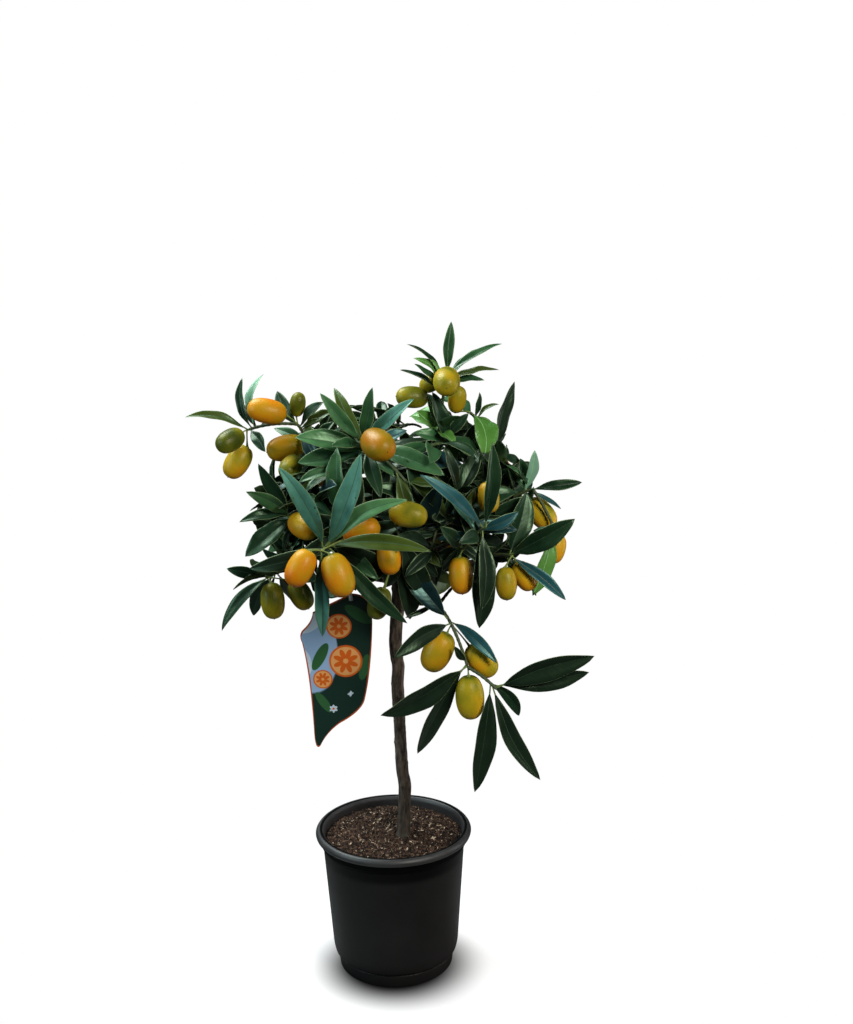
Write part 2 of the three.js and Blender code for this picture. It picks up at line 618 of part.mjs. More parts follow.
// A fruit: an egg shape with a stalk to its upper end.
function fruitSolids({ base, middle, length, axis }) {
  const egg = new THREE.SphereGeometry(1, 7, 4);
  egg.scale((length * FRUIT_SLIMNESS) / 2, length / 2, (length * FRUIT_SLIMNESS) / 2);
  egg.applyQuaternion(new THREE.Quaternion().setFromUnitVectors(vec(0, 1, 0), axis));
  egg.translate(middle.x, middle.y, middle.z);
  const stalkEnd = middle.clone().addScaledVector(axis, -length / 2 + 3);
  return [solidOf(egg), limb([base, stalkEnd], [1, 1.1], 3)];
}

// ---------------------------------------------------------------- label
// A plastic hanging label: a pointed card, and a strap whose loop goes round the low left bough.
const LABEL_THICKNESS = 1;
const LABEL_LOOP_SHARE = 0.58; // how far along the bough the loop hangs
const LABEL_SHOULDER = 399; // height where the card's left edge starts
const LABEL_LEFT = -89;
const LABEL_RIGHT = -16;
const LABEL_POINT = [-77, 251];

function labelOutline() {
  const card = new THREE.Shape();
  card.moveTo(-76, LABEL_SHOULDER);
  card.quadraticCurveTo(-77, LABEL_SHOULDER - 10, -86, LABEL_SHOULDER - 18);
  card.quadraticCurveTo(LABEL_LEFT - 3, LABEL_SHOULDER - 23, LABEL_LEFT + 1, LABEL_SHOULDER - 32);
  card.quadraticCurveTo(-81, 335, -79, 275);
  card.quadraticCurveTo(LABEL_POINT[0] - 2, LABEL_POINT[1] - 3, LABEL_POINT[0] + 4, LABEL_POINT[1] + 4);
  card.quadraticCurveTo(-66, 270, -52, 280);
  card.quadraticCurveTo(-30, 292, -26, 304);
  card.quadraticCurveTo(-18, 335, LABEL_RIGHT, 385);
  card.lineTo(LABEL_RIGHT, LABEL_SHOULDER);
  card.quadraticCurveTo(LABEL_RIGHT - 2, LABEL_SHOULDER + 18, -36, LABEL_SHOULDER + 19);
  card.quadraticCurveTo(-52, LABEL_SHOULDER + 12, -76, LABEL_SHOULDER);
  return card;
}

function makeLabel(lowLeft) {
  const curve = boughCurve(lowLeft);
  const hook = curve.getPoint(LABEL_LOOP_SHARE);
  const along = curve.getTangent(LABEL_LOOP_SHARE);
  const boughRadius = BOUGH_FOOT_RADIUS + (BOUGH_TIP_RADIUS - BOUGH_FOOT_RADIUS) * LABEL_LOOP_SHARE;
  const depth = hook.y;
  const card = new THREE.ExtrudeGeometry(labelOutline(), {
    depth: LABEL_THICKNESS, bevelEnabled: false, curveSegments: 4,
  });
  card.rotateX(Math.PI / 2);
  card.translate(0, depth + LABEL_THICKNESS / 2, 0);
  const loopRadius = boughRadius + SEAT + 1.1;
  const loop = new THREE.TorusGeometry(loopRadius, 0.9, 4, 10);
  loop.applyQuaternion(new THREE.Quaternion().setFromUnitVectors(vec(0, 0, 1), along));
  loop.translate(hook.x, hook.y, hook.z);
  const strapTop = vec(hook.x, depth, hook.z - loopRadius);
  const strapFoot = vec(-37, depth, LABEL_SHOULDER + 12);
  const strap = limb([strapTop, strapFoot], [1.6, 2.2], 4);
  return wasm.Manifold.union([solidOf(card), solidOf(loop), strap]);
}

// ---------------------------------------------------------------- assembly
const material = (color, roughness, metalness = 0) => new THREE.MeshStandardMaterial({
  color, roughness, metalness,
});
const POT_PLASTIC = material(0x1b1c1e, 0.5);
const POTTING_SOIL = material(0x4a3527, 0.95);
const BARK = material(0x5b4a3c, 0.85);
const FOLIAGE = material(0x1f4a2e, 0.45);
const LABEL_CARD = material(0x2a4f3a, 0.4);

const tree = new THREE.Group();
function add(name, solid, look) {
  const mesh = new THREE.Mesh(geometryOf(solid), look);
  mesh.name = name;
  tree.add(mesh);
}

// Everything that a new piece has to stay clear of, with the mass that it belongs to. Leaves and
// fruits are filled pieces: others of their own mass may not cross them either.
const taken = [];
const take = (solid, owner, filled = false) => {
  taken.push({ solid, owner, filled, box: solid.boundingBox() });
};
const boxesMeet = (a, b) => [0, 1, 2].every((i) => a.min[i] - SEAT < b.max[i] && b.min[i] - SEAT < a.max[i]);
function isClear(solid, owner, ofOwnToo = false) {
  const box = solid.boundingBox();
  return taken.every((other) => {
    if (other.owner === owner && !(ofOwnToo && other.filled)) return true;
    if (!boxesMeet(box, other.box)) return true;
    return solid.minGap(other.solid, 2 * SEAT) > (other.owner === owner ? 0.05 : SEAT * 0.999);
  });
}

// The first variant with room all round, or for a named piece the first that is clear of the others'.
function placed(item, build, owner) {
  const options = item.variants.map(build);
  const free = options.find((solids) => solids.every((solid) => isClear(solid, owner, true)));
  if (free || !item.named) return free;
  return options.find((solids) => solids.every((solid) => isClear(solid, owner)));
}

add('pot', makePot(), POT_PLASTIC);
add('soil', makeSoil(), POTTING_SOIL);
const trunk = makeTrunk();
add('trunk', trunk, BARK);
take(trunk, 'trunk');

const trunkGap = makeTrunk(SEAT * 1.15);
for (const mass of MASSES) {
  const bough = makeBough(mass, trunkGap);
  take(bough, `${mass.name}_bough`);
  add(`${mass.name}_bough`, bough, BARK);
}
const label = makeLabel(MASSES.find((mass) => mass.name === 'low_left'));
take(label, 'label');
add('label', label, LABEL_CARD);

addInnerShoots(MASSES);
const plans = MASSES.map(growMass);
const parts = MASSES.map(() => []);

// Twigs first, then the named leaves and fruits, then the rest. What would touch another mass, a
// bough or the label is skipped.
plans.forEach((plan, m) => {
  const { name } = MASSES[m];
  const { stemStart, stemEnd } = boughPath(MASSES[m]);
  const stem = limb([stemStart, stemEnd], [BOUGH_TIP_RADIUS, BOUGH_TIP_RADIUS], BOUGH_SIDES);
  const pieces = [stem];
  plan.twigs.forEach((twig) => {
    pieces.push(twigSolid(twig, twig.start.distanceTo(stemEnd) < 1 ? 2 : 1.7));
  });
  parts[m].push(...pieces.filter((piece) => isClear(piece, name)));
  parts[m].forEach((piece) => take(piece, name));
});
for (const named of [true, false]) {
  plans.forEach((plan, m) => {
    const owner = MASSES[m].name;
    const lay = (items, build) => {
      for (const item of items.filter((candidate) => candidate.named === named)) {
        const solids = placed(item, build, owner) ?? [];
        for (const solid of solids) {
          parts[m].push(solid);
          take(solid, owner, true);
        }
      }
    };
    lay(plan.fruits, fruitSolids);
    lay(plan.leaves, (leaf) => [leafSolid(leaf)]);
  });
}
MASSES.forEach((mass, m) => {
  add(`${mass.name}_foliage`, mainBody(wasm.Manifold.union(parts[m])), FOLIAGE);
});

export default tree;
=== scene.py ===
"""A kumquat tree on a clean stem in a black nursery pot, dressed round its CAD frame.

The sections' own sizes are millimetres; surface_piece turns them into the metres of the meshes. +Z is
up and -Y is the front. The sections follow the tree as it is put together: pot, soil, trunk, boughs,
label, the crown's plan, twigs, leaves and fruit, and then the studio.
"""

import math

import bmesh
import bpy
import numpy as np
from mathutils import Matrix, Vector


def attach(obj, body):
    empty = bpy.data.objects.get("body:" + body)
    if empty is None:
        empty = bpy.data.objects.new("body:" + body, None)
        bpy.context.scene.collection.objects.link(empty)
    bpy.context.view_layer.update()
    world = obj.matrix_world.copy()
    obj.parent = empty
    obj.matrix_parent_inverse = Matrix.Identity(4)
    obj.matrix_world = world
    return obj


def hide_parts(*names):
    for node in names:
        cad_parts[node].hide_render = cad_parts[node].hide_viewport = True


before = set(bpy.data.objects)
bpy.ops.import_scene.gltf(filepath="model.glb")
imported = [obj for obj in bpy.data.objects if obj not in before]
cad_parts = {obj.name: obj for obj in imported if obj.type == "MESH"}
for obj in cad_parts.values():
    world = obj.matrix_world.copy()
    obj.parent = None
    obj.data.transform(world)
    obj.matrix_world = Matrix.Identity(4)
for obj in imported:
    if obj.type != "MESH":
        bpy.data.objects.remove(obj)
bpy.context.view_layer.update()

# ---------------------------------------------------------------------------------------- pot
# A 17 cm nursery pot, injection moulded in black polypropylene: a rolled lip over a stepped
# shoulder, a body that tapers down, and a foot ring under a groove, with drain holes in the floor.
MM = 0.001
POT_TURNS = 144
POT_PROFILE = (  # radius, height, and how far the rounding reaches from the corner
    (0, 0, 0), (60.6, 0, 1.6), (62, 13, 0.7), (61.2, 14.2, 0.5), (65, 16.6, 2.5), (67, 25, 5),
    (75, 137.4, 1), (77, 139, 0.8), (77.5, 147, 1), (81.6, 147, 1.6), (83, 151.2, 2.6), (80.4, 155, 2.2),
    (75.4, 155, 1.6), (73.2, 151.5, 1.5), (73, 139, 1), (65, 26, 3), (59, 18, 2), (59, 3, 1), (0, 3, 0),
)
DRAIN_HOLES = 6
DRAIN_HOLE_RADIUS = 4.5
DRAIN_CIRCLE_RADIUS = 40
DRILL_TURNS = 24
SLIVER = 0.02  # edges shorter than this, which the drilling leaves, are closed up
SCUFFS_AND_SHEEN_FROM = 138.5  # height over which the lip and the wall inside it are lighter: scuffs and dust from handling, and on the lip a painted sheen
SCUFFS_AND_SHEEN_RADII = (76, 78)  # inside the first and outside the second
LIP_SHADOW_BAND = (136, 147.5)  # heights of the shoulder under the lip, painted near black: a painted shadow of the lip
LIP_SHADOW_RADIUS = 74.5
SHADE_BAND = (121, 129)  # heights between which the body's colour darkens towards the shoulder: a painted shadow under the lip


def surface_piece(name, points, faces, finishes, worn=None, smooth=True, attributes=()):
    """A mesh object from points in mm and faces of up to four corners. A corner that repeats the one
    before it is dropped, so a ring that shares one point closes a pole. worn is the number of each
    face's finish. attributes are (name, values): one number a point, or two a point for a UV map."""
    points = np.asarray(points, float).reshape(-1, 3)
    faces = np.asarray(faces, np.int64).reshape(-1, np.shape(faces)[-1])
    kept = faces != np.roll(faces, 1, axis=1)
    sides = kept.sum(1)
    sound = sides > 2
    kept, faces, sides = kept[sound], faces[sound], sides[sound]
    corners = faces[kept].astype(np.int32)
    mesh = bpy.data.meshes.new(name)
    mesh.vertices.add(len(points))
    mesh.vertices.foreach_set("co", (points * MM).astype(np.float32).ravel())
    mesh.loops.add(len(corners))
    mesh.loops.foreach_set("vertex_index", corners)
    mesh.polygons.add(len(faces))
    mesh.polygons.foreach_set("loop_start", (np.cumsum(sides) - sides).astype(np.int32))
    mesh.polygons.foreach_set("use_smooth", np.full(len(faces), smooth))
    for finish in finishes:
        mesh.materials.append(finish)
    if worn is not None:
        mesh.polygons.foreach_set("material_index", np.asarray(worn, np.int32)[sound])
    for label, values in attributes:
        values = np.asarray(values, np.float32)
        if values.ndim == 2:
            mesh.uv_layers.new(name=label).data.foreach_set("uv", values[corners].ravel())
        else:
            mesh.attributes.new(label, "FLOAT", "POINT").data.foreach_set("value", values)
    mesh.update(calc_edges=True)
    mesh.validate()
    piece = bpy.data.objects.new(name, mesh)
    bpy.context.scene.collection.objects.link(piece)
    return piece


def grid_faces(index, closed=False):
    """Four-cornered faces between the neighbours of a grid of point numbers. A closed grid's last
    column joins its first."""
    right = np.roll(index, -1, axis=1)
    low, high, low_right, high_right = index[:-1], index[1:], right[:-1], right[1:]
    faces = np.stack([low, low_right, high_right, high], -1)
    return (faces if closed else faces[:, :-1]).reshape(-1, 4)


def capped_loft(rings):
    """Points and faces of a closed loft through rings of points, an array of ring, point, xyz. Each
    end is closed by a fan to the middle of its ring."""
    rows, turns = rings.shape[:2]
    points = np.concatenate([rings.reshape(-1, 3), rings[:1].mean(1), rings[-1:].mean(1)])
    index = np.arange(rows * turns).reshape(rows, turns)
    foot, head = np.full((1, turns), rows * turns), np.full((1, turns), rows * turns + 1)
    return points, grid_faces(np.concatenate([foot, index, head]), closed=True)


def join_lofts(lofts):
    """Points and faces of many lofts as one pair of arrays."""
    starts = np.cumsum([0] + [len(points) for points, _ in lofts])
    faces = [faces + start for (_, faces), start in zip(lofts, starts)]
    return np.concatenate([points for points, _ in lofts]), np.concatenate(faces)


def rounded_profile(corners, steps=5):
    """A line of (radius, height) points through the corners. Each corner is a quadratic curve that
    starts and ends its reach away from it, but at most 45% of the way to its neighbour."""
    corner = np.array([c[:2] for c in corners], float)
    share = np.linspace(0, 1, steps)[:, None]
    line = [corner[:1]]
    for i in range(1, len(corner) - 1):
        back, ahead = corner[i - 1] - corner[i], corner[i + 1] - corner[i]
        reach = min(corners[i][2], 0.45 * np.linalg.norm(back), 0.45 * np.linalg.norm(ahead))
        start = corner[i] + back / np.linalg.norm(back) * reach
        end = corner[i] + ahead / np.linalg.norm(ahead) * reach
        line.append((1 - share) ** 2 * start + 2 * share * (1 - share) * corner[i] + share**2 * end)
    line.append(corner[-1:])
    return np.concatenate(line)


def turned(profile, turns):
    """Rings of a profile of (radius, height) turned round Z in equal steps."""
    angle = np.arange(turns) * 2 * math.pi / turns
    radius, height = profile[:, :1], profile[:, 1:]
    return np.stack([radius * np.cos(angle), radius * np.sin(angle), height + 0 * angle], -1)


def feed(tree, node, inputs):
    """Gives each input of a node, by name or number, its value or a link from another's output."""
    for socket, given in inputs.items():
        if isinstance(given, bpy.types.NodeSocket):
            tree.links.new(given, node.inputs[socket])
        else:
            node.inputs[socket].default_value = given


def output_of(tree, kind, output, inputs=None, **settings):
    """One output of a new shader node, with its settings and its inputs."""
    node = tree.nodes.new("ShaderNode" + kind)
    for label, value in settings.items():
        setattr(node, label, value)
    feed(tree, node, inputs or {})
    return node.outputs[output]


def maths(tree, operation, *terms, use_clamp=False):
    """The result of a Math node on its terms, each a number or an output."""
    return output_of(tree, "Math", 0, dict(enumerate(terms)), operation=operation, use_clamp=use_clamp)


def blend(tree, share, first, second):
    """Two colours mixed by a share."""
    return output_of(tree, "Mix", "Result", {"Factor": share, "A": first, "B": second}, data_type="RGBA")


def scaled(tree, colour, share):
    """A colour times a share."""
    return output_of(tree, "VectorMath", "Vector", {0: colour, "Scale": share}, operation="SCALE")


def finish(name):
    """A new node material: the material, its node tree and its Principled shader."""
    material = bpy.data.materials.new(name)
    material.use_nodes = True
    return material, material.node_tree, material.node_tree.nodes["Principled BSDF"]


def node_group(name, kind, inputs, outputs):
    """A new node group: the group, its inputs, all of one kind, and its outputs, all numbers."""
    group = bpy.data.node_groups.new(name, "ShaderNodeTree")
    for label in inputs:
        group.interface.new_socket(name=label, in_out="INPUT", socket_type="NodeSocket" + kind)
    for label in outputs:
        group.interface.new_socket(name=label, in_out="OUTPUT", socket_type="NodeSocketFloat")
    return group, group.nodes.new("NodeGroupInput").outputs, group.nodes.new("NodeGroupOutput").inputs


def mottle_group():
    """Cloudy noise of two sizes on Object coordinates, given in mm: a mask that spreads the middle of
    the large noise by the contrast, and the small noise as a height."""
    group, given, result = node_group("mottle", "Float", ("Clouds", "Grain", "Contrast"), ("Mask", "Height"))
    place = output_of(group, "TexCoord", "Object")
    noises = []
    for size in ("Clouds", "Grain"):
        scale = maths(group, "DIVIDE", 1 / MM, given[size])
        noises.append(output_of(group, "TexNoise", "Fac", {"Vector": place, "Scale": scale, "Detail": 3.0}))
    centred = maths(group, "SUBTRACT", noises[0], 0.5)
    spread = maths(group, "MULTIPLY_ADD", centred, given["Contrast"], 0.5, use_clamp=True)
    group.links.new(spread, result["Mask"])
    group.links.new(noises[1], result["Height"])
    return group


mottle = mottle_group()


def mottled(name, shades, roughness, clouds, grain, contrast=2.0, bump=0.1, depth=0.2, gloss=0.5):
    """A finish that wanders between two shades and two roughnesses by the same clouds, with the grain
    as its bump. Clouds, grain and the bump's depth are in mm, and gloss is the specular level."""
    material, tree, shader = finish(name)
    sizes = {"Clouds": clouds, "Grain": grain, "Contrast": contrast}
    mask = output_of(tree, "Group", "Mask", sizes, node_tree=mottle)
    rough = {"Value": mask, "To Min": roughness[0], "To Max": roughness[1]}
    relief = {"Strength": bump, "Distance": depth * MM, "Height": mask.node.outputs["Height"]}
    feed(tree, shader, {
        "Base Color": blend(tree, mask, (*shades[0], 1), (*shades[1], 1)),
        "Roughness": output_of(tree, "MapRange", "Result", rough),
        "Normal": output_of(tree, "Bump", "Normal", relief),
        "Specular IOR Level": gloss,
    })
    return material


def toned_by_height(material, heights, shares):
    """Scales a finish's base colour: by the first share under the first height in mm, by the second
    over the second height, and by a smooth step between them."""
    tree = material.node_tree
    shader = tree.nodes["Principled BSDF"]
    colour = shader.inputs["Base Color"].links[0].from_socket
    height = output_of(tree, "SeparateXYZ", "Z", {"Vector": output_of(tree, "TexCoord", "Object")})
    step = {"Value": height, "From Min": heights[0] * MM, "From Max": heights[1] * MM,
            "To Min": shares[0], "To Max": shares[1]}
    share = output_of(tree, "MapRange", "Result", step, interpolation_type="SMOOTHSTEP")
    feed(tree, shader, {"Base Color": scaled(tree, colour, share)})


black_plastic = mottled("black_polypropylene", ((0.0094, 0.0090, 0.0092), (0.0144, 0.0139, 0.0142)),
                        (0.36, 0.46), clouds=40, grain=0.7, bump=0.12, gloss=0.14)
# The body is painted darker towards the shoulder, to a twentieth of its colour: a painted shadow under the
# lip.
toned_by_height(black_plastic, SHADE_BAND, (1, 0.05))
# The lip and the wall inside it: scuffs and dust, and a lighter colour that is also a painted sheen on the
# lip.
scuffed_lip_and_sheen = mottled("scuffed_lip_and_sheen", ((0.020, 0.020, 0.021), (0.034, 0.034, 0.035)), (0.42, 0.55),
                      clouds=18, grain=0.6, bump=0.15)
# The shoulder under the lip is painted near black: a painted shadow of the lip.
shoulder_painted_shadow = mottled("shoulder_painted_shadow", ((0.0012, 0.0012, 0.0012), (0.0022, 0.0022, 0.0022)),
                         (0.5, 0.6), clouds=40, grain=0.7, bump=0.12, gloss=0.05)
pot_line = rounded_profile(POT_PROFILE)[1:-1]
pot_points, pot_faces = capped_loft(turned(pot_line, POT_TURNS))
line_radius, line_height = pot_line.T
off_shoulder = (line_radius < SCUFFS_AND_SHEEN_RADII[0]) | (line_radius > SCUFFS_AND_SHEEN_RADII[1])
scuffs_and_sheen = (line_height > SCUFFS_AND_SHEEN_FROM) & off_shoulder
# Faces of the shoulder that take the painted shadow of the lip.
shoulder = (line_height > LIP_SHADOW_BAND[0]) & (line_height < LIP_SHADOW_BAND[1]) & (line_radius > LIP_SHADOW_RADIUS)
band = 1 * (scuffs_and_sheen[1:] & scuffs_and_sheen[:-1]) + 2 * (shoulder[1:] & shoulder[:-1])
pot_worn = np.repeat(np.concatenate([[0], band, [0]]), POT_TURNS)
pot_finishes = [black_plastic, scuffed_lip_and_sheen, shoulder_painted_shadow]
pot = surface_piece("nursery_pot", pot_points, pot_faces[:, ::-1], pot_finishes, pot_worn)

# The drain holes are drilled through the floor, and the faces round them are cleaned of slivers.
drill_line = np.array([[DRAIN_HOLE_RADIUS, -4.0], [DRAIN_HOLE_RADIUS, 8.0]])
drills = []
for hole in range(DRAIN_HOLES):
    turn = 2 * math.pi * (hole + 0.5) / DRAIN_HOLES
    centre = DRAIN_CIRCLE_RADIUS * np.array([math.cos(turn), math.sin(turn), 0])
    drills.append(capped_loft(turned(drill_line, DRILL_TURNS) + centre))
drill = surface_piece("drain_drill", *join_lofts(drills), [])
cut = pot.modifiers.new("drain holes", "BOOLEAN")
cut.operation = "DIFFERENCE"
cut.solver = "EXACT"
cut.object = drill
bpy.context.view_layer.objects.active = pot
bpy.ops.object.modifier_apply(modifier=cut.name)
bpy.data.objects.remove(drill)
drilled = bmesh.new()
drilled.from_mesh(pot.data)
bmesh.ops.dissolve_degenerate(drilled, dist=SLIVER * MM, edges=drilled.edges)
bmesh.ops.triangulate(drilled, faces=[face for face in drilled.faces if len(face.verts) > 4])
drilled.to_mesh(pot.data)
drilled.free()
pot.data.polygons.foreach_set("use_smooth", np.full(len(pot.data.polygons), True))
pot.data.set_sharp_from_angle(angle=math.radians(40))
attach(pot, "root")
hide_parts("pot")

# --------------------------------------------------------------------------------------- soil
# Moist peat and bark compost that fills the pot to 12 mm under the lip, a little heaped round the
# trunk: a body with loose crumbs, bark chips, sticks and a few pale flecks lying on it.
SOIL_TOP = 143
SOIL_SIDE = ((59, 3.4), (58.7, 18.4), (64.7, 27.4), (72.6, 138.6))
SOIL_RINGS = 90
SOIL_TURNS = 240
SOIL_RADIUS = 72.4
TRUNK_FOOT = (11.0, 0.0)


def lumpy(x, y, size, seed):
    """Smooth noise of about -1 to 1: a fifth of the sum of twelve sine waves over x and y, each with
    its own seeded direction, phase and length near the size."""
    wave = np.random.default_rng(seed)
    total = np.zeros(np.broadcast(x, y).shape)
    for _ in range(12):
        way, phase = wave.uniform(0, 2 * math.pi, 2)
        length = size * wave.uniform(0.6, 1.6)
        total += np.sin((x * math.cos(way) + y * math.sin(way)) * 2 * math.pi / length + phase)
    return total / 5


def soil_height(x, y):
    """Height of the soil in mm: lumps of three sizes, a heap round the trunk that dies away in 20 mm,
    a slow rise to the back and a dip of 1.5 mm at the wall."""
    from_trunk = np.hypot(x - TRUNK_FOOT[0], y - TRUNK_FOOT[1])
    lumps = 0.9 * lumpy(x, y, 34, 1) + 0.6 * lumpy(x, y, 12, 2) + 0.35 * lumpy(x, y, 5, 3)
    heap = 1.6 * np.exp(-((from_trunk / 20) ** 2))
    dip = 1.5 * np.clip((np.hypot(x, y) - 60) / 12, 0, 1) ** 2
    return SOIL_TOP + 1.6 + 0.025 * y + lumps + heap - dip


soil_radii = np.linspace(SOIL_RADIUS, 0.5, SOIL_RINGS)
soil_rings = turned(np.stack([soil_radii, np.zeros(SOIL_RINGS)], -1), SOIL_TURNS)
soil_rings[..., 2] = soil_height(soil_rings[..., 0], soil_rings[..., 1])
soil_rings = np.concatenate([turned(np.array(SOIL_SIDE), SOIL_TURNS), soil_rings])
peat = mottled("moist_peat", ((0.004, 0.0022, 0.0015), (0.056, 0.0300, 0.0190)), (0.75, 0.95),
               clouds=4, grain=0.9, contrast=4, bump=0.9, depth=1.2, gloss=0.15)
soil_points, soil_faces = capped_loft(soil_rings)
soil = surface_piece("potting_soil", soil_points, soil_faces, [peat])
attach(soil, "root")
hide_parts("soil")

# The loose crumbs are lopsided blocks that lie on the body, a little sunk in.
CRUMBS = 9500
CRUMB_LENGTH = 1.45  # the middle one of all
CRUMB_LIMITS = (0.7, 4.5)
CRUMB_RADIUS = 70.5  # they lie inside this radius, and outside the next round the trunk
CRUMB_CLEARANCE = 9
CRUMB_SHADES = (  # name, share of all, two shades, and how slender the crumbs are
    ("crumb_black", 0.42, (0.005, 0.0029, 0.0022), (0.014, 0.0082, 0.0058), 1.2),
    ("crumb_brown", 0.43, (0.038, 0.0205, 0.0135), (0.094, 0.052, 0.034), 1.5),
    ("crumb_tan", 0.10, (0.095, 0.058, 0.038), (0.18, 0.115, 0.078), 2.6),
    ("crumb_pale", 0.05, (0.36, 0.27, 0.18), (0.58, 0.46, 0.34), 3.6),
)


def turning(spin, tilt, lean):
    """Rotation matrices that lean about X, then tilt about Y, then spin about Z, one for each row."""
    cs, ss = np.cos(spin), np.sin(spin)
    ct, st = np.cos(tilt), np.sin(tilt)
    cl, sl = np.cos(lean), np.sin(lean)
    across = np.stack([cs * ct, cs * st * sl - ss * cl, cs * st * cl + ss * sl], -1)
    along = np.stack([ss * ct, ss * st * sl + cs * cl, ss * st * cl - cs * sl], -1)
    return np.stack([across, along, np.stack([-st, ct * sl, ct * cl], -1)], 1)


chance = np.random.default_rng(11)
crumb_radius = CRUMB_RADIUS * np.sqrt(chance.uniform(0, 1, CRUMBS))
crumb_angle = chance.uniform(0, 2 * math.pi, CRUMBS)
crumb_x, crumb_y = crumb_radius * np.cos(crumb_angle), crumb_radius * np.sin(crumb_angle)
beside_trunk = np.hypot(crumb_x - TRUNK_FOOT[0], crumb_y - TRUNK_FOOT[1]) > CRUMB_CLEARANCE
crumb_x, crumb_y = crumb_x[beside_trunk], crumb_y[beside_trunk]
crumbs = len(crumb_x)
crumb_kind = chance.choice(len(CRUMB_SHADES), crumbs, p=[shade[1] for shade in CRUMB_SHADES])
slender = np.array([shade[4] for shade in CRUMB_SHADES])[crumb_kind]
crumb_long = chance.lognormal(math.log(CRUMB_LENGTH), 0.45, crumbs).clip(*CRUMB_LIMITS) * slender**0.6
crumb_wide = chance.uniform(0.5, 1, crumbs) / slender
crumb_thick = chance.uniform(0.3, 0.6, crumbs) / slender
crumb_half = crumb_long[:, None] * np.stack([np.ones(crumbs), crumb_wide, crumb_thick], -1) / 2
block = np.array([[x, y, z] for x in (-1, 1) for y in (-1, 1) for z in (-1, 1)], float)
block_faces = np.array([[0, 1, 3, 2], [4, 6, 7, 5], [0, 4, 5, 1], [2, 3, 7, 6], [0, 2, 6, 4], [1, 5, 7, 3]])
crumb_points = block * crumb_half[:, None, :] * chance.uniform(0.55, 1.0, (crumbs, 8, 3))
crumb_turn = turning(chance.uniform(0, 2 * math.pi, crumbs), *chance.normal(0, 0.45, (2, crumbs)))
crumb_seat = np.stack([crumb_x, crumb_y, soil_height(crumb_x, crumb_y) + 0.3 * crumb_half[:, 2]], -1)
crumb_points = np.einsum("nij,nkj->nki", crumb_turn, crumb_points) + crumb_seat[:, None, :]
crumb_finishes = [mottled(name, shades, (0.7, 0.95), clouds=2, grain=0.5, bump=0.6, depth=0.4, gloss=0.2)
                  for name, _, *shades, _ in CRUMB_SHADES]
crumb_faces = block_faces[None] + len(block) * np.arange(crumbs)[:, None, None]
crumb_worn = np.repeat(crumb_kind, len(block_faces))
crumb_piece = surface_piece("soil_crumbs", crumb_points, crumb_faces, crumb_finishes, crumb_worn,
                            smooth=False)
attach(crumb_piece, "root")

# -------------------------------------------------------------------------------------- trunk
# One clean stem as thick as a finger, grey-brown and finely fissured, with old leaf scars, a kink
# a hand above the soil and a slight flare where it enters it. It forks inside the crown.
TRUNK_STATIONS = np.array([  # height, place across and front to back, radius
    [143.3, 11, 0, 9.5], [148, 11, 0, 7.4], [156, 11.3, 0.3, 6.9], [185, 12.5, 1, 6.6], [203, 13, 0.5, 6.8],
    [216, 11, -0.5, 6.6], [240, 9.8, -1, 6.3], [272, 9, 0, 6.3], [300, 8.2, 1.5, 6.7], [314, 7.8, 1.5, 6.6],
    [332, 9, 0.5, 6.5], [352, 6.8, -0.5, 6.7], [380, 8, 0, 6.7], [412, 11, 0.5, 7], [446, 12, 1, 6.2],
    [482, 14, 0, 4.8],
])
TRUNK_SCARS = (  # height, and angle round the stem
    (168, 2.2), (203, 4.4), (226, 0.6), (251, 3.3), (283, 1.4), (303, 5.0), (314, 2.6), (341, 3.9),
    (368, 0.9), (396, 5.3), (418, 2.9),
)
TRUNK_ROWS = 520
TRUNK_TURNS = 72
ROOT_FLARE = 0.9  # how far the foot's five lobes stand out, dying away in 6 mm
LOW_GREEN = (190, 143)  # heights between which the bark turns greener, from none to LOW_GREEN_SHARE
LOW_GREEN_SHARE = 0.55


def smooth_between(stations, at):
    """Each column of the stations at the given heights, by a Catmull-Rom curve: cubic between two
    stations, with the slope at each taken from its neighbours."""
    height = stations[:, 0]
    i = np.clip(np.searchsorted(height, at) - 1, 0, len(height) - 2)
    slope = np.gradient(stations[:, 1:], height, axis=0)
    gap = (height[i + 1] - height[i])[:, None]
    t = (at - height[i])[:, None] / gap
    low, high = stations[i, 1:], stations[i + 1, 1:]
    return ((2 * t**3 - 3 * t**2 + 1) * low + (t**3 - 2 * t**2 + t) * gap * slope[i]
            + (3 * t**2 - 2 * t**3) * high + (t**3 - t**2) * gap * slope[i + 1])


def bark_relief(angle, along, radius, seed):
    """How far bark stands out in mm: long shallow fissures that wander round the stem, finer ones,
    low rings across it and slow swellings. The angle counts only by its sine and cosine, so the
    relief closes round the stem."""
    x, y = np.cos(angle) * radius, np.sin(angle) * radius
    wander = 2 * lumpy(along, 0, 60, seed)
    fissures = lumpy(x + wander, y + 0.06 * along, 4.2, seed + 1)
    fine = lumpy(x + 0.3 * y + wander, y + 0.12 * along, 1.9, seed + 2)
    rings = lumpy(along, 0.25 * x + 0.2 * y, 9, seed + 3)
    swell = lumpy(along, 0.4 * x, 38, seed + 4)
    return 0.17 * fissures + 0.09 * fine + 0.12 * rings + 0.16 * swell


def colour_ramp(tree, share, stops):
    """The colour at a share of a ramp that runs through the stops, each a place and a shade."""
    colour = output_of(tree, "ValToRGB", "Color", {"Fac": share})
    elements = colour.node.color_ramp.elements
    while len(elements) < len(stops):
        elements.new(0.5)
    for element, (position, shade) in zip(elements, stops):
        element.position = position
        element.color = (*shade, 1)
    return colour


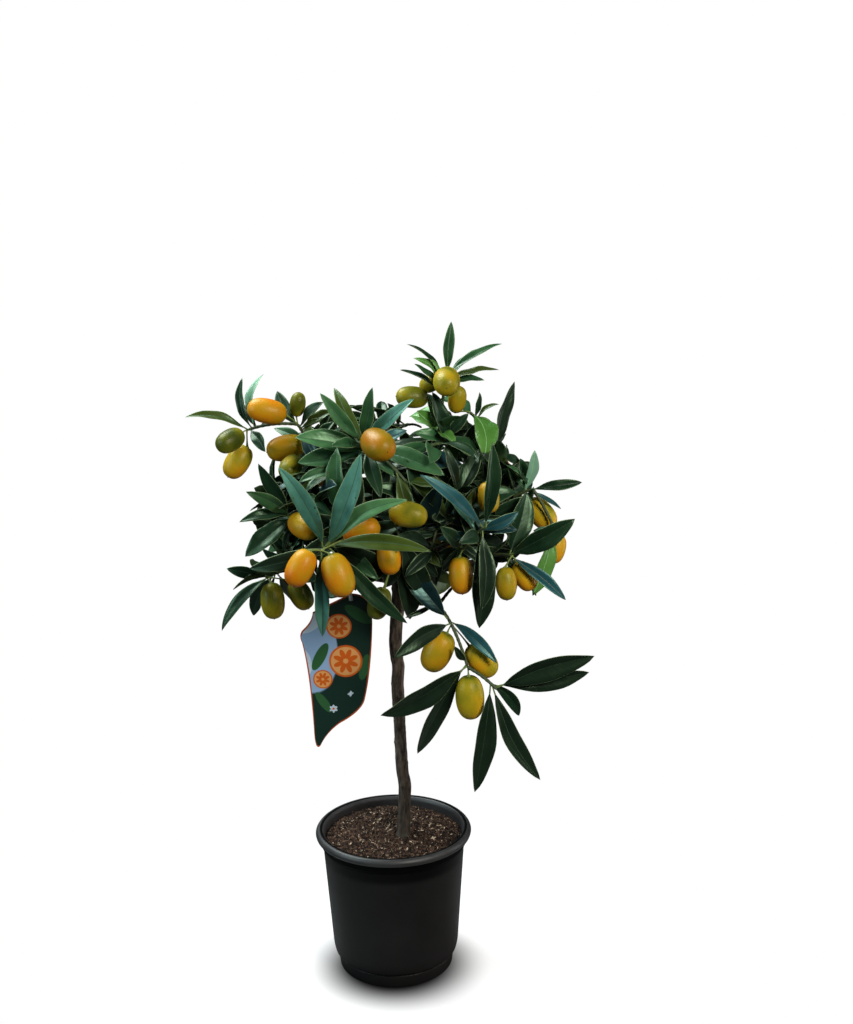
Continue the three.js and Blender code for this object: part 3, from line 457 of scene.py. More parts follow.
def bark_finish(name, dark, light, low_green):
    """Bark: two browns by noise that is stretched four times along Z, a green cast near the soil by
    height, and the same noise as bump."""
    material, tree, shader = finish(name)
    place = output_of(tree, "TexCoord", "Object")
    stretched = output_of(tree, "Mapping", "Vector", {"Vector": place, "Scale": (1, 1, 0.25)})
    noise = {"Vector": stretched, "Scale": 260, "Detail": 5, "Roughness": 0.65}
    clouds = output_of(tree, "TexNoise", "Fac", noise)
    browns = colour_ramp(tree, clouds, ((0.36, dark), (0.68, light)))
    height = output_of(tree, "SeparateXYZ", "Z", {"Vector": place})
    cast = {"Value": height, "From Min": LOW_GREEN[0] * MM, "From Max": LOW_GREEN[1] * MM,
            "To Max": LOW_GREEN_SHARE}
    low = output_of(tree, "MapRange", "Result", cast)
    relief = {"Strength": 0.7, "Distance": 0.5 * MM, "Height": clouds}
    feed(tree, shader, {
        "Base Color": blend(tree, low, browns, (*low_green, 1)),
        "Roughness": 0.82,
        "Normal": output_of(tree, "Bump", "Normal", relief),
    })
    return material


bark = bark_finish("grey_brown_bark", (0.022, 0.0135, 0.009), (0.215, 0.160, 0.116), (0.045, 0.038, 0.022))
# The bark's colour is halved near the soil and lifted higher up the stem: painted shade at the foot and
# painted light above it.
toned_by_height(bark, (150, 300), (0.5, 1.15))
trunk_height = np.linspace(TRUNK_STATIONS[0, 0], TRUNK_STATIONS[-1, 0], TRUNK_ROWS)
trunk_line = smooth_between(TRUNK_STATIONS, trunk_height)
trunk_turn = np.arange(TRUNK_TURNS) * 2 * math.pi / TRUNK_TURNS
around, tall = np.meshgrid(trunk_turn, trunk_height)
trunk_wide = trunk_line[:, 2:3] - 0.05 + bark_relief(around, tall, trunk_line[:, 2:3], 40)
trunk_wide += ROOT_FLARE * np.exp(-(tall - TRUNK_STATIONS[0, 0]) / 6) * np.sin(5 * around + 0.6)
for scar_height, scar_turn in TRUNK_SCARS:  # a low swelling with a dent just over its middle
    off = (around - scar_turn + math.pi) % (2 * math.pi) - math.pi
    trunk_wide += 0.95 * np.exp(-(((tall - scar_height) / 3.0) ** 2) - (off / 0.55) ** 2)
    trunk_wide -= 0.6 * np.exp(-(((tall - scar_height - 1.2) / 1.1) ** 2) - (off / 0.3) ** 2)
trunk_x = trunk_line[:, :1] + trunk_wide * np.cos(trunk_turn)
trunk_y = trunk_line[:, 1:2] + trunk_wide * np.sin(trunk_turn)
trunk_rings = np.stack([trunk_x, trunk_y, tall], -1)
trunk = surface_piece("trunk_bark", *capped_loft(trunk_rings), [bark])
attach(trunk, "root")
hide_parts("trunk")

# ------------------------------------------------------------------------------------- boughs
# The main boughs, one to each mass of foliage: thinner limbs of the same bark that leave the stem at
# a slant between 417 and 482 mm, with a swollen collar at the foot, and bend up to their shoots.
BOUGHS = {  # name: foot's height on the trunk, and tip
    "spire": (482, (42, -2, 548)), "right_top": (471, (76, 8, 530)), "left_arm": (456, (-52, -2, 536)),
    "left_mid": (444, (-56, -30, 492)), "low_left": (424, (-72, -32, 448)),
    "front_left": (434, (-30, -80, 486)), "top_front": (467, (-8, -45, 548)), "front": (452, (16, -68, 482)),
    "front_right": (441, (62, -72, 482)), "low_right": (430, (84, -44, 456)),
    "far_right": (458, (98, -14, 494)), "hanging": (417, (36, -42, 438)), "back_left": (437, (-58, 50, 500)),
    "back": (447, (4, 62, 520)), "back_right": (440, (68, 52, 494)), "back_top": (461, (2, 30, 564)),
    "back_low": (422, (10, 58, 448)),
}
BOUGH_FOOT_RADIUS = 3.4
BOUGH_TIP_RADIUS = 2.1
BOUGH_STEPS = 4  # straight steps of the CAD's bough, whose last one gives the way of its tip
BOUGH_RINGS = 44
BOUGH_TURNS = 18
KNEE_OUT = 0.58  # shares of the way out and up at which a bough bends
KNEE_UP = 0.42
KNEE_RISE = 3
COLLAR = 1.6  # how far the collar at a bough's foot stands out
STEM_LENGTH = 6
UP = np.array([0.0, 0.0, 1.0])
BACK = np.array([0.0, 1.0, 0.0])


def unit(way):
    """Directions divided by their lengths."""
    return way / np.linalg.norm(way, axis=-1, keepdims=True)


def squared_to(way):
    """Two unit vectors square to each direction: up crossed with it, or +X for one that is nearly
    upright, and its own cross with that."""
    side = np.where(np.abs(way[..., 2:]) > 0.95, np.array([1.0, 0, 0]), UP)
    across = unit(np.cross(side, way))
    return across, np.cross(way, across)


def tube(line, radius, turns, relief=None):
    """Rings of a tube along a line of points: at each point a circle of its radius in the plane
    square to the line. The frame is carried along without a twist by projecting the last one."""
    way = unit(np.gradient(line, axis=0))
    across = np.empty_like(line)
    across[0] = squared_to(way[0])[0]
    for i in range(1, len(line)):
        across[i] = unit(across[i - 1] - way[i] * np.dot(across[i - 1], way[i]))
    over = np.cross(way, across)
    angle = np.arange(turns) * 2 * math.pi / turns
    wide = np.broadcast_to(np.reshape(radius, (-1, 1)), (len(line), turns))
    if relief is not None:
        wide = wide + relief
    circle = across[:, None] * np.cos(angle)[:, None] + over[:, None] * np.sin(angle)[:, None]
    return line[:, None] + wide[..., None] * circle


def quadratic(start, knee, end, share):
    """Points of a quadratic curve at the given shares of its run."""
    share = np.asarray(share, float)[:, None]
    return (1 - share) ** 2 * start + 2 * share * (1 - share) * knee + share**2 * end


def bough_ends(name):
    """A bough's curve as foot, knee and tip, the way it points at its tip, and the end of the short
    stem that carries the foliage on from there. The foot is the trunk's middle at that height; the
    knee lies a share of the way out and up, and a little higher."""
    height, tip = BOUGHS[name]
    tip = np.array(tip, float)
    level = TRUNK_STATIONS[:, 0]
    foot = np.array([np.interp(height, level, TRUNK_STATIONS[:, column]) for column in (1, 2)] + [height])
    knee = foot + KNEE_OUT * (tip - foot)
    knee[2] = foot[2] + KNEE_UP * (tip[2] - foot[2]) + KNEE_RISE
    steps = quadratic(foot, knee, tip, np.linspace(0, 1, BOUGH_STEPS + 1))
    way = unit(steps[-1] - steps[-2])
    return foot, knee, tip, way, tip + way * STEM_LENGTH


bough_lofts = []
for number, bough in enumerate(BOUGHS):
    foot, knee, tip, way, stem_end = bough_ends(bough)
    share = np.linspace(0.02, 1, BOUGH_RINGS)
    stem = [stem_end - 0.5 * way * STEM_LENGTH, stem_end]
    line = np.concatenate([quadratic(foot, knee, tip, share), stem])
    radius = BOUGH_FOOT_RADIUS + (BOUGH_TIP_RADIUS - BOUGH_FOOT_RADIUS) * share
    radius = np.concatenate([radius, [BOUGH_TIP_RADIUS, BOUGH_TIP_RADIUS * 0.95]])
    along = np.append(share, [1, 1]) * np.linalg.norm(tip - foot)
    radius += COLLAR * np.exp(-(((along - 6) / 5) ** 2))
    angle, reach = np.meshgrid(np.arange(BOUGH_TURNS) * 2 * math.pi / BOUGH_TURNS, along)
    relief = 0.7 * bark_relief(angle, reach, radius[:, None], 60 + 7 * number)
    bough_lofts.append(capped_loft(tube(line, radius - 0.1, BOUGH_TURNS, relief)))
boughs = surface_piece("boughs_bark", *join_lofts(bough_lofts), [bark])
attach(boughs, "root")
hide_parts(*[name + "_bough" for name in BOUGHS])

# -------------------------------------------------------------------------------------- label
# A hanging label die-cut from printed polypropylene sheet, with an orange edge. Its strap is one with
# the card and loops round the low left bough.
LABEL_THICKNESS = 1.0
LABEL_LOOP_SHARE = 0.58
LABEL_SHOULDER = 399
LABEL_LEFT = -89
LABEL_RIGHT = -16
LABEL_POINT = (-77, 251)
LABEL_CURVES = (  # the outline as quadratic curves: control point, end point
    ((-77, LABEL_SHOULDER - 10), (-86, LABEL_SHOULDER - 18)),
    ((LABEL_LEFT - 3, LABEL_SHOULDER - 23), (LABEL_LEFT + 1, LABEL_SHOULDER - 32)),
    ((-81, 335), (-79, 275)),
    ((LABEL_POINT[0] - 2, LABEL_POINT[1] - 3), (LABEL_POINT[0] + 4, LABEL_POINT[1] + 4)),
    ((-66, 270), (-52, 280)),
    ((-30, 292), (-26, 304)),
    ((-18, 335), (LABEL_RIGHT, 385)),
    ((LABEL_RIGHT, 392), (LABEL_RIGHT, LABEL_SHOULDER)),
    ((LABEL_RIGHT - 2, LABEL_SHOULDER + 18), (-36, LABEL_SHOULDER + 19)),
    ((-52, LABEL_SHOULDER + 12), (-76, LABEL_SHOULDER)),
)
LABEL_EDGE = 1.6  # width of the orange edge
LABEL_MIDDLE = (-50.0, 335.0)
LABEL_RING_SHARES = (0.0, 0.25, 0.5, 0.72, 0.88)  # rings of the card's mesh inside the edge
LOOP_RADIUS = 0.85
LOOP_GAP = 1.4  # from the bough to the middle of the loop
STRAP_STEPS = 16


def label_outline(steps=8):
    """The card's outline as (x, z) points, anticlockwise from the strap's left side, each curve in
    equal shares."""
    share = np.arange(1, steps + 1) / steps
    points, last = [], np.array([-76.0, LABEL_SHOULDER])
    for knee, end in LABEL_CURVES:
        points.append(quadratic(last, np.array(knee, float), np.array(end, float), share))
        last = points[-1][-1]
    return np.concatenate(points)


def label_curl(x, z):
    """How far the hanging sheet bows to the front in mm: a shallow arc across it, and a slow wave
    down it."""
    return 1.5 * np.cos((x + 52) / 37 * math.pi / 2) + 0.9 * np.sin((z - 250) / 150 * math.pi * 1.3) - 1.2


def oval_group():
    """A soft-edged oval on Object coordinates: the place is moved, turned and divided by the oval's
    half sizes, and its length is under 1 inside."""
    group, given, result = node_group("printed_oval", "Vector", ("Centre", "Turn", "Half sizes"), ("Mask",))
    fit = {"Vector": output_of(group, "TexCoord", "Object"), "Location": given["Centre"],
           "Rotation": given["Turn"], "Scale": given["Half sizes"]}
    fitted = output_of(group, "Mapping", "Vector", fit, vector_type="TEXTURE")
    length = output_of(group, "VectorMath", "Value", {0: fitted}, operation="LENGTH")
    soft = {"Value": length, "From Min": 1.02, "From Max": 0.98}
    group.links.new(output_of(group, "MapRange", "Result", soft), result["Mask"])
    return group


PRINT_BLUE = (0.33, 0.50, 0.74)
PRINT_PALE = (0.62, 0.74, 0.86)
PRINT_GREEN = (0.010, 0.034, 0.024)
PRINT_LEAF = (0.035, 0.13, 0.045)
PRINT_ORANGE = (0.74, 0.13, 0.012)
PRINT_PITH = (0.88, 0.42, 0.14)
LABEL_PRINT = [  # colour, centre (x, z), half sizes, turn in degrees: later ovals lie over earlier
    (PRINT_BLUE, (-88, 372), (34, 60), 14), (PRINT_PALE, (-80, 388), (15, 9), 35),
    (PRINT_PALE, (-86, 346), (7, 14), 10),
    (PRINT_LEAF, (-70, 352), (16, 5.5), 62), (PRINT_LEAF, (-30, 396), (16, 6), -35),
    (PRINT_LEAF, (-25, 340), (14, 5), 75), (PRINT_LEAF, (-68, 303), (13, 4.5), -55),
    (PRINT_ORANGE, (-50, 384), (13, 13), 0), (PRINT_PITH, (-50, 384), (11.4, 11.4), 0),
    (PRINT_ORANGE, (-44, 347), (17, 17), 0), (PRINT_PITH, (-44, 347), (15, 15), 0),
    (PRINT_ORANGE, (-68, 328), (10, 10), 0), (PRINT_PITH, (-68, 328), (8.6, 8.6), 0),
    (PRINT_PALE, (-40, 312), (3.2, 1.3), 10), (PRINT_PALE, (-40, 312), (3.2, 1.3), 82),
    (PRINT_PALE, (-58, 296), (4.4, 1.7), 30), (PRINT_PALE, (-58, 296), (4.4, 1.7), 90),
    (PRINT_PALE, (-58, 296), (4.4, 1.7), 150), (PRINT_ORANGE, (-58, 296), (1.2, 1.2), 0),
]
CUT_FRUITS = ((-50, 384, 10), (-44, 347, 13.4), (-68, 328, 7.6))  # centre and radius of their wedges
for slice_x, slice_z, slice_radius in CUT_FRUITS:
    for wedge in range(8):  # each an oval that points at the middle
        turn = 2 * math.pi * (wedge + 0.5) / 8
        out = 0.58 * slice_radius
        centre = (slice_x + out * math.cos(turn), slice_z + out * math.sin(turn))
        halves = (0.40 * slice_radius, 0.19 * slice_radius)
        LABEL_PRINT.append((PRINT_ORANGE, centre, halves, math.degrees(turn)))


def printed_card():
    """The card's print: the dark green ground, with one oval after another mixed over it."""
    material, tree, shader = finish("label_print")
    oval = oval_group()
    below = (*PRINT_GREEN, 1)
    for colour, centre, halves, turn in LABEL_PRINT:
        fit = {"Centre": (centre[0] * MM, 0, centre[1] * MM), "Turn": (0, -math.radians(turn), 0),
               "Half sizes": (halves[0] * MM, 1e3, halves[1] * MM)}
        mask = output_of(tree, "Group", "Mask", fit, node_tree=oval)
        below = blend(tree, mask, below, (*colour, 1))
    feed(tree, shader, {"Base Color": below, "Roughness": 0.32})
    return material


card_line = label_outline()
card_middle = np.array(LABEL_MIDDLE)
card_out = card_line - card_middle
edge_share = 1 - LABEL_EDGE / np.linalg.norm(card_out, axis=1, keepdims=True)
front_rings = [card_middle + share * edge_share * card_out for share in LABEL_RING_SHARES]
front_rings += [card_middle + edge_share * card_out, card_middle + card_out]
foot, knee, tip, _, _ = bough_ends("low_left")
hook = quadratic(foot, knee, tip, [LABEL_LOOP_SHARE])[0]
hook_way = unit(2 * (1 - LABEL_LOOP_SHARE) * (knee - foot) + 2 * LABEL_LOOP_SHARE * (tip - knee))


def card_ring(ring, side):
    """A ring of (x, z) points set on the front (-1) or back (+1) of the curled sheet."""
    depth = hook[1] - label_curl(ring[:, 0], ring[:, 1]) + side * LABEL_THICKNESS / 2
    return np.stack([ring[:, 0], depth, ring[:, 1]], -1)


card_rings = [card_ring(ring, 1) for ring in front_rings]
card_rings += [card_ring(ring, -1) for ring in reversed(front_rings)]
card_points, card_faces = capped_loft(np.array(card_rings[1:-1]))
card_rows = len(card_rings) - 2
card_row = np.repeat(np.arange(card_rows + 1), len(card_line))
card_print, card_edge, card_back = 0, 1, 2
rim = abs(card_row - card_rows // 2) <= 1
card_worn = np.where(rim, card_edge, np.where(card_row > card_rows // 2, card_print, card_back))
edge_ink = mottled("label_edge", ((0.50, 0.075, 0.012), (0.62, 0.11, 0.02)), (0.30, 0.38),
                   clouds=12, grain=1, bump=0.02)
card_white = mottled("label_sheet", ((0.55, 0.57, 0.56), (0.66, 0.67, 0.66)), (0.32, 0.42),
                     clouds=20, grain=1, bump=0.02)
bough_here = BOUGH_FOOT_RADIUS + (BOUGH_TIP_RADIUS - BOUGH_FOOT_RADIUS) * LABEL_LOOP_SHARE
loop_radius = bough_here + LOOP_GAP
loop_across, loop_over = squared_to(hook_way)
loop_turn = np.linspace(0, 2 * math.pi, 49)[:, None]
loop_line = hook + loop_radius * (loop_across * np.cos(loop_turn) + loop_over * np.sin(loop_turn))
strap_top = hook - np.array([0, 0, loop_radius])
strap_foot = np.array([-37.0, hook[1], LABEL_SHOULDER + 12])
strap_knee = (strap_top + strap_foot) / 2 + [1.5, -0.6, 0]
strap_line = quadratic(strap_top, strap_knee, strap_foot, np.linspace(0, 1, STRAP_STEPS))
strap_loft = capped_loft(tube(strap_line, np.linspace(1.3, 2.0, STRAP_STEPS), 12))
loop_loft = capped_loft(tube(loop_line, LOOP_RADIUS, 10))
label_points, label_faces = join_lofts([(card_points, card_faces), strap_loft, loop_loft])
label_worn = np.concatenate([card_worn, np.full(len(strap_loft[1]) + len(loop_loft[1]), card_back)])
label_finishes = [printed_card(), edge_ink, card_white]
label = surface_piece("hanging_label", label_points, label_faces, label_finishes, label_worn)
label.data.set_sharp_from_angle(angle=math.radians(35))
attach(label, "root")
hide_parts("label")

# ------------------------------------------------------------------------------ the crown's plan
# The crown is seventeen masses of foliage, one on each bough. Each shoot ends in a whorl of leathery
# leaves, and kumquats hang on short green stalks from the ends of the older ones.
CROWN_CENTRE = np.array([8.0, 5.0, 508.0])
CROWN_RADII = np.array([152.0, 150.0, 102.0])
LEAF_FULL_LENGTH = 92
FRUIT_STALK = 8
FRUIT_GIRTH = 0.36  # share of a fruit's length that is kept clear round its axis
TWIG_BOW = 0.06
FRONT_RISE = 0.2  # the eye looks down, so what stands further forward has to stand higher by this share
LEAF_STEP = 2.2  # from one leaf's foot to the next along the twig
# Each listed shoot: its end, its leaves and its fruits. A leaf: the way it points seen from the front, in
# degrees clockwise from straight up; how far it reaches across the front; its tone; and, where they
# differ from LEAF_HABIT, how far its tip stands in front of the shoot's end (None: a grown leaf's
# length decides), its share of the usual width, how much its upper face turns to the front, and how
# far its middle bows across the front, clockwise, as a share of its length.
# A fruit: way, reach to its middle, length, ripeness from 0 green to 1 orange, and where they differ
# from FRUIT_HABIT, how far its middle stands in front, the way its long axis points, how much that
# axis turns to the front, and a share that scales its skin's colour: painted light over 1, painted shade
# under 1.
LEAF_HABIT = (None, 1, 0.3, 0)
FRUIT_HABIT = (None, None, 0.2, 1)
SHOOTS = {
    "spire": [
        ((56, -5, 586),
         [(-58, 27, "y", 14, 1.8, 1.4, -0.1), (-19, 35, "d", 4, 1.4, 1), (146, 24, "y", 20, 1.5, 1.4),
          (-110, 34, "d", 10, 1, 1), (72, 22, "o")],
         [(-44, 39, 32, 0.15, 12, -84)]),
        ((63, -10, 638),
         [(6, 52, "g", -8, 0.85, 1), (62, 63, "g", -14, 0.6, 0.6, -0.05), (53, 43, "g", -20, 0.8, 0.2),
          (87, 52, "o", 0, 0.8, 0.6, -0.05), (101, 38, "g", 0, 1, 0.8),
          (-52, 49, "d", -5, 0.7, 0.4, 0.05), (-64, 36, "y", 10, 1.1, 1, 0.1), (-73, 33, "g", 0, 1, 0.6),
          (-85, 46, "d", 0, 1, 0.4)],
         [(-178, 9, 39, 0.42, 22), (-118, 17, 27, 0.3, -10)]),
        ((64, -10, 566),
         [(-16, 56, "d", 0, 1.2, 1.2), (-50, 50, "y", 22, 1.8, 1.4, 0.08), (-68, 36, "e", 26, 1.6, 1.2),
          (32, 38, "d", 10, 1.3, 1), (172, 26, "y", 30, 1.4, 1.4), (118, 32, "g", 24, 1.5, 1.2)],
         []),
    ],
    "right_top": [
        ((115, 10, 555),
         [(13, 74, "k", -10, 0.95, 0.5, -0.11), (155, 49, "d"), (-115, 23, "g"), (121, 37, "d")],
         []),
        ((86, 0, 598),
         [(165, 48, "y", 34, 1.9, 1.2, -0.15), (144, 36, "y", 16, 1.4, 1.4, -0.1),
          (-66, 38, "g", 25, 1.2, 0.9), (26, 22, "d", 0, 1.2, 0.6), (76, 30, "o", 0, 0.9, 0.6, -0.08),
          (-168, 39, "d", 10, 1.2, 1), (171, 60, "y", 20, 1.1, 1)],
         [(-44, 18, 28, 0.4, -4, 10)]),
    ],
    "left_arm": [
        ((-75, -10, 570),
         [(4, 29, "d", -30), (-64, 40, "g", 30, 1, 0.8), (50, 35, "d", 0, 1.4, 1.2),
          (80, 32, "t", 22, 1.7, 2, -0.12), (110, 55, "d", 20, 1.4, 2, -0.06),
          (171, 41, "k", -20, 1.3, 1)],
         [(-99, 21, 39, 0.7, 14, -100), (-148, 27, 32, 0.25, 30)]),
        ((-84, -20, 592),
         [(-32, 41, "d", -30, 1.2, 1, -0.08), (52, 34, "d", 10, 1.3, 1), (76, 22, "o", 16, 1, 1),
          (71, 38, "o", 10, 1.4, 1.2), (112, 20, "o", 20), (158, 24, "o", 16)],
         [(-65, 31, 39, 0.85, 6, -75), (0, 20, 25, 0.2, -8, 10)]),
        ((-134, -20, 587),
         [(-77, 60, "o", 10, 0.7, 0.7, 0.07), (138, 30, "d", 24, 1.4, 1),
          (-4, 53, "d", -12, 0.75, 0.7, -0.12), (16, 59, "m", 8, 0.8, 0.6, -0.09), (-14, 28, "k", -20),
          (75, 26, "k", 26, 1.1, 1)],
         [(-125, 18, 32, 0.1), (-162, 33, 36, 0.55, 2, -146)]),
    ],
    "left_mid": [
        ((-94, -60, 509),
         [(-24, 57, "d", 20, 1, 1, 0.07), (-54, 43, "g", 30, 0.95, 1, 0.06),
          (-96, 44, "d", 20, 0.9, 0.8, 0.1), (-134, 56, "d", 15, 1.4, 1), (-126, 28, "k", -25),
          (-173, 36, "d"), (35, 45, "o", 40)],
         [(118, 20, 38, 0.6, 22)]),
    ],
    "low_left": [
        ((-117, -60, 448),
         [(-76, 39, "d", 0, 1.2, 0.6), (-108, 28, "r"), (-140, 70, "d", 5, 0.8, 0.4, 0.06),
          (-155, 48, "k", 24, 1, 1), (175, 32, "r", 34, 0.7, 0.6), (129, 49, "k", 30, 1.1, 1),
          (-27, 22, "d")],
         [(164, 24, 36, 0.3, 8, 176), (119, 38, 32, 0.2, 4, 150)]),
    ],
    "front_left": [
        ((-57, -130, 492),
         [(-178, 86, "t", 34, 0.6, 1.2), (-23, 86, "t", 20, 0.75, 1, 0.09),
          (24, 99, "t", 14, 0.8, 0.8, 0.06), (60, 94, "e", 16, 0.65, 0.8, -0.07),
          (91, 102, "o", 10, 0.6, 0.8, -0.08), (133, 107, "d", -12, 0.6, 0.5),
          (-104, 71, "k", -14, 0.8, 0.6, -0.05), (112, 70, "k", -40, 1.4, 1)],
         [(-130, 24, 37, 0.9, None, -150), (146, 28, 42, 0.78, None, 160),
          (66, 41, 37, 0.85, -32, 64, 0.2, 0.75)]),
    ],
    "top_front": [
        ((-19, -80, 585),
         [(-39, 58, "e", 15, 0.85, 1, -0.03), (14, 51, "g", 20, 0.9, 1), (53, 63, "t", 20, 0.85, 1),
          (-102, 27, "g", 35, 1.1, 1), (-27, 60, "o", -45, 0.7, 0.5), (162, 58, "d", 30), (114, 85, "g"),
          (77, 44, "b", -20, 1.2, 1), (-86, 62, "e", 6, 1.2, 1.2), (-108, 64, "g", 0, 1.2, 1.1)],
         [(105, 17, 44, 0.74, 30, 110, 2, 0.6)]),
    ],
    "front": [
        ((16, -110, 496),
         [(155, 62, "k", -25, 1.3, 1), (-163, 50, "k", -20, 1.2, 1), (138, 52, "k", -20, 1, 0.8),
          (84, 33, "d", -20, 1, 0.8), (175, 82, "k", -30), (48, 64, "b", -25), (-18, 43, "b", -30),
          (-27, 54, "d", -50)],
         [(18, 26, 36, 0.4, 16, 98), (-145, 19, 37, 0.8, -8, 176, 0.5, 1.25), (-161, 65, 32, 0.1)]),
    ],
    "front_right": [
        ((75, -90, 480),
         [(-14, 42, "b", -10), (-41, 33, "d"), (-134, 31, "d", -20)],
         [(-174, 24, 36, 0.82, 16, 176)]),
        ((96, -115, 508),
         [(4, 80, "d", 14, 0.75, 0.6), (-50, 79, "b", 20, 0.65, 0.5, 0.02), (-176, 79, "k", 16, 0.9, 1),
          (-176, 99, "k", -8, 1, 1), (66, 34, "b", -10, 1.2, 1), (-115, 29, "d"), (-53, 39, "t", -20),
          (-105, 47, "b", -15)],
         [(8, 28, 30, 0.65, -26, 175)]),
    ],
    "low_right": [
        ((122, -85, 472),
         [(131, 67, "b", 12, 0.75, 1), (14, 64, "d", -20, 1.5, 1.4), (59, 69, "d", 8, 1.2, 1),
          (175, 42, "d", -30), (149, 52, "d", -40)],
         [(-166, 27, 32, 0.5, 14, 178), (150, 24, 31, 0.8, 2, 150, 0.2, 1.3)]),
    ],
    "far_right": [
        ((146, -30, 525),
         [(83, 49, "d", 0, 0.9, 0.6), (126, 36, "b", -4, 0.6, 0.8), (-45, 35, "e", -10, 1.5, 1.2),
          (-19, 33, "g", -15, 1.4, 1), (3, 39, "m", 0, 1.1, 1), (-150, 40, "k", -20)],
         [(160, 27, 37, 0.55, -14, 138, 0.2, 1.35)]),
        ((168, -35, 483),
         [(-88, 22, "t", 0, 1.2, 1), (-160, 69, "y", 4, 1.1, 1)],
         [(176, 18, 30, 0.7, -6, -165, 0.2, 1.2)]),
    ],
    "hanging": [
        ((51, -80, 422), [(-70, 40, "k", -20, 1.3, 0.8), (-108, 34, "k", 10, 0.6, 0.5)], []),
        ((63, -100, 409),
         [(-116, 61, "k", None, 1, 0.6, 0.06), (131, 56, "b", 20, 0.8, 0.8, -0.09),
          (-39, 78, "n", 0, 1.2, 1.1)],
         [(-153, 30, 42, 0.62), (142, 46, 38, 0.52, None, None, 0.2, 1.25)]),
        ((78, -110, 369),
         [(-119, 97, "k"), (-152, 107, "k", None, 0.6, 0.6, 0.06), (-30, 26, "k", 0, 1.3, 1)],
         [(177, 30, 44, 0.5, None, None, 0.2, 1.3)]),
        ((105, -120, 350),
         [(71, 98, "k", None, 1, 0.6, -0.05), (82, 91, "k", -20, 0.9, 0.6, -0.04),
          (156, 102, "k", None, 0.65, 0.6, 0.05), (-168, 107, "k", None, 0.8, 0.6),
          (144, 38, "d", -20, 0.9, 0.8, -0.1)],
         []),
        ((70, -84, 446), [], []),
    ],
}
INNER_SHOOTS = {  # shoots that the growth rule adds to each mass
    "spire": 1, "right_top": 2, "left_arm": 1, "left_mid": 2, "low_left": 1, "front_left": 1, "top_front": 2,
    "front": 2, "front_right": 1, "low_right": 1, "far_right": 2, "hanging": 0, "back_left": 5, "back": 5,
    "back_right": 5, "back_top": 3, "back_low": 4,
}
INNER_TRIES = 200
FRUITFUL = 0.42  # share of the added shoots that would carry a fruit
DEPTH_SHARES = (1, 0.7, 1.3, 0.4, 0, -0.5, -1)  # shares of a listed leaf's lean to the front to try
CLOCK_TURNS = (0, 25, -25, 50, -50)  # degrees round the shoot to try
LENGTH_SHARES = (1, 0.8, 0.62)  # shares of an added leaf's length to try
FRUIT_WAYS = ((0, FRUIT_STALK), (0.6, 16), (1.2, 14), (2, 9))  # leans outwards and stalks to try
GOLDEN_ANGLE = math.radians(137.5)


def seeded(seed):
    """A repeatable row of numbers from 0 to 1: mulberry32, on 32-bit whole numbers."""
    state = seed
    while True:
        state = (state + 0x6D2B79F5) & 0xFFFFFFFF
        mixed = (state ^ (state >> 15)) * (state | 1) & 0xFFFFFFFF
        mixed ^= mixed + ((mixed ^ (mixed >> 7)) * (mixed | 61) & 0xFFFFFFFF) & 0xFFFFFFFF
        yield ((mixed ^ (mixed >> 14)) & 0xFFFFFFFF) / 4294967296


def crown_share(points):
    """How far out in the crown points lie: 0 in the middle, 1 on the skin of its ellipsoid."""
    return np.linalg.norm((points - CROWN_CENTRE) / CROWN_RADII, axis=-1)


def add_shoots(counts, spacing, core, reach, seed, ends):
    """New shoots for each mass by the growth rule. An end lies out from the bough's tip, mostly away
    from the crown's middle, inside the crown's core, and at least the spacing from all ends."""
    grown = {name: [] for name in BOUGHS}
    for number, (name, count) in enumerate(counts.items()):
        random = seeded(seed + number)
        _, _, tip, way, _ = bough_ends(name)
        outward = unit(tip - CROWN_CENTRE)
        for _ in range(INNER_TRIES):
            if len(grown[name]) == count:
                break
            toward = unit(np.array([next(random) - 0.5 for _ in range(3)]))
            toward = unit(toward + 0.9 * outward)
            end = tip + toward * (reach[0] + reach[1] * next(random))
            near = np.linalg.norm(np.array(ends) - end, axis=1).min()
            if near <= spacing or np.dot(end - tip, way) <= 8 or crown_share(end) > core:
                continue
            ends.append(end)
            roll, fruit, ripeness = 2 * math.pi * next(random), next(random) < FRUITFUL, next(random)
            grown[name].append((end, roll, fruit, ripeness))
    return grown


def twig_plan(name, ends):
    """The twigs of a mass as (start, middle, end): each end joins the nearest of the stem's end and
    the ends before it, and the middle rises by a small share of the length."""
    starts = [bough_ends(name)[4]]
    twigs = []
    for end in ends:
        start = min(starts, key=lambda place: np.linalg.norm(place - end))
        starts.append(end)
        middle = (start + end) / 2 + UP * TWIG_BOW * np.linalg.norm(end - start)
        twigs.append((start, middle, end))
    return twigs


def back_along(twig, distance):
    """The place on a twig's two straight halves at a distance back from its end."""
    start, middle, end = twig
    half = np.linalg.norm(end - middle)
    if distance <= half:
        return end + (middle - end) * distance / half
    return middle + (start - middle) * min((distance - half) / np.linalg.norm(middle - start), 1)


def leaf_face(base, direction, roll, facing):
    """The way a leaf's upper face looks: up, out of the crown and some way to the front, made square
    to the leaf's direction and rolled about it."""
    face = 0.55 * UP + 0.8 * unit(base - CROWN_CENTRE) - facing * BACK
    face = unit(face - direction * np.dot(face, direction))
    return face * math.cos(roll) + np.cross(direction, face) * math.sin(roll)


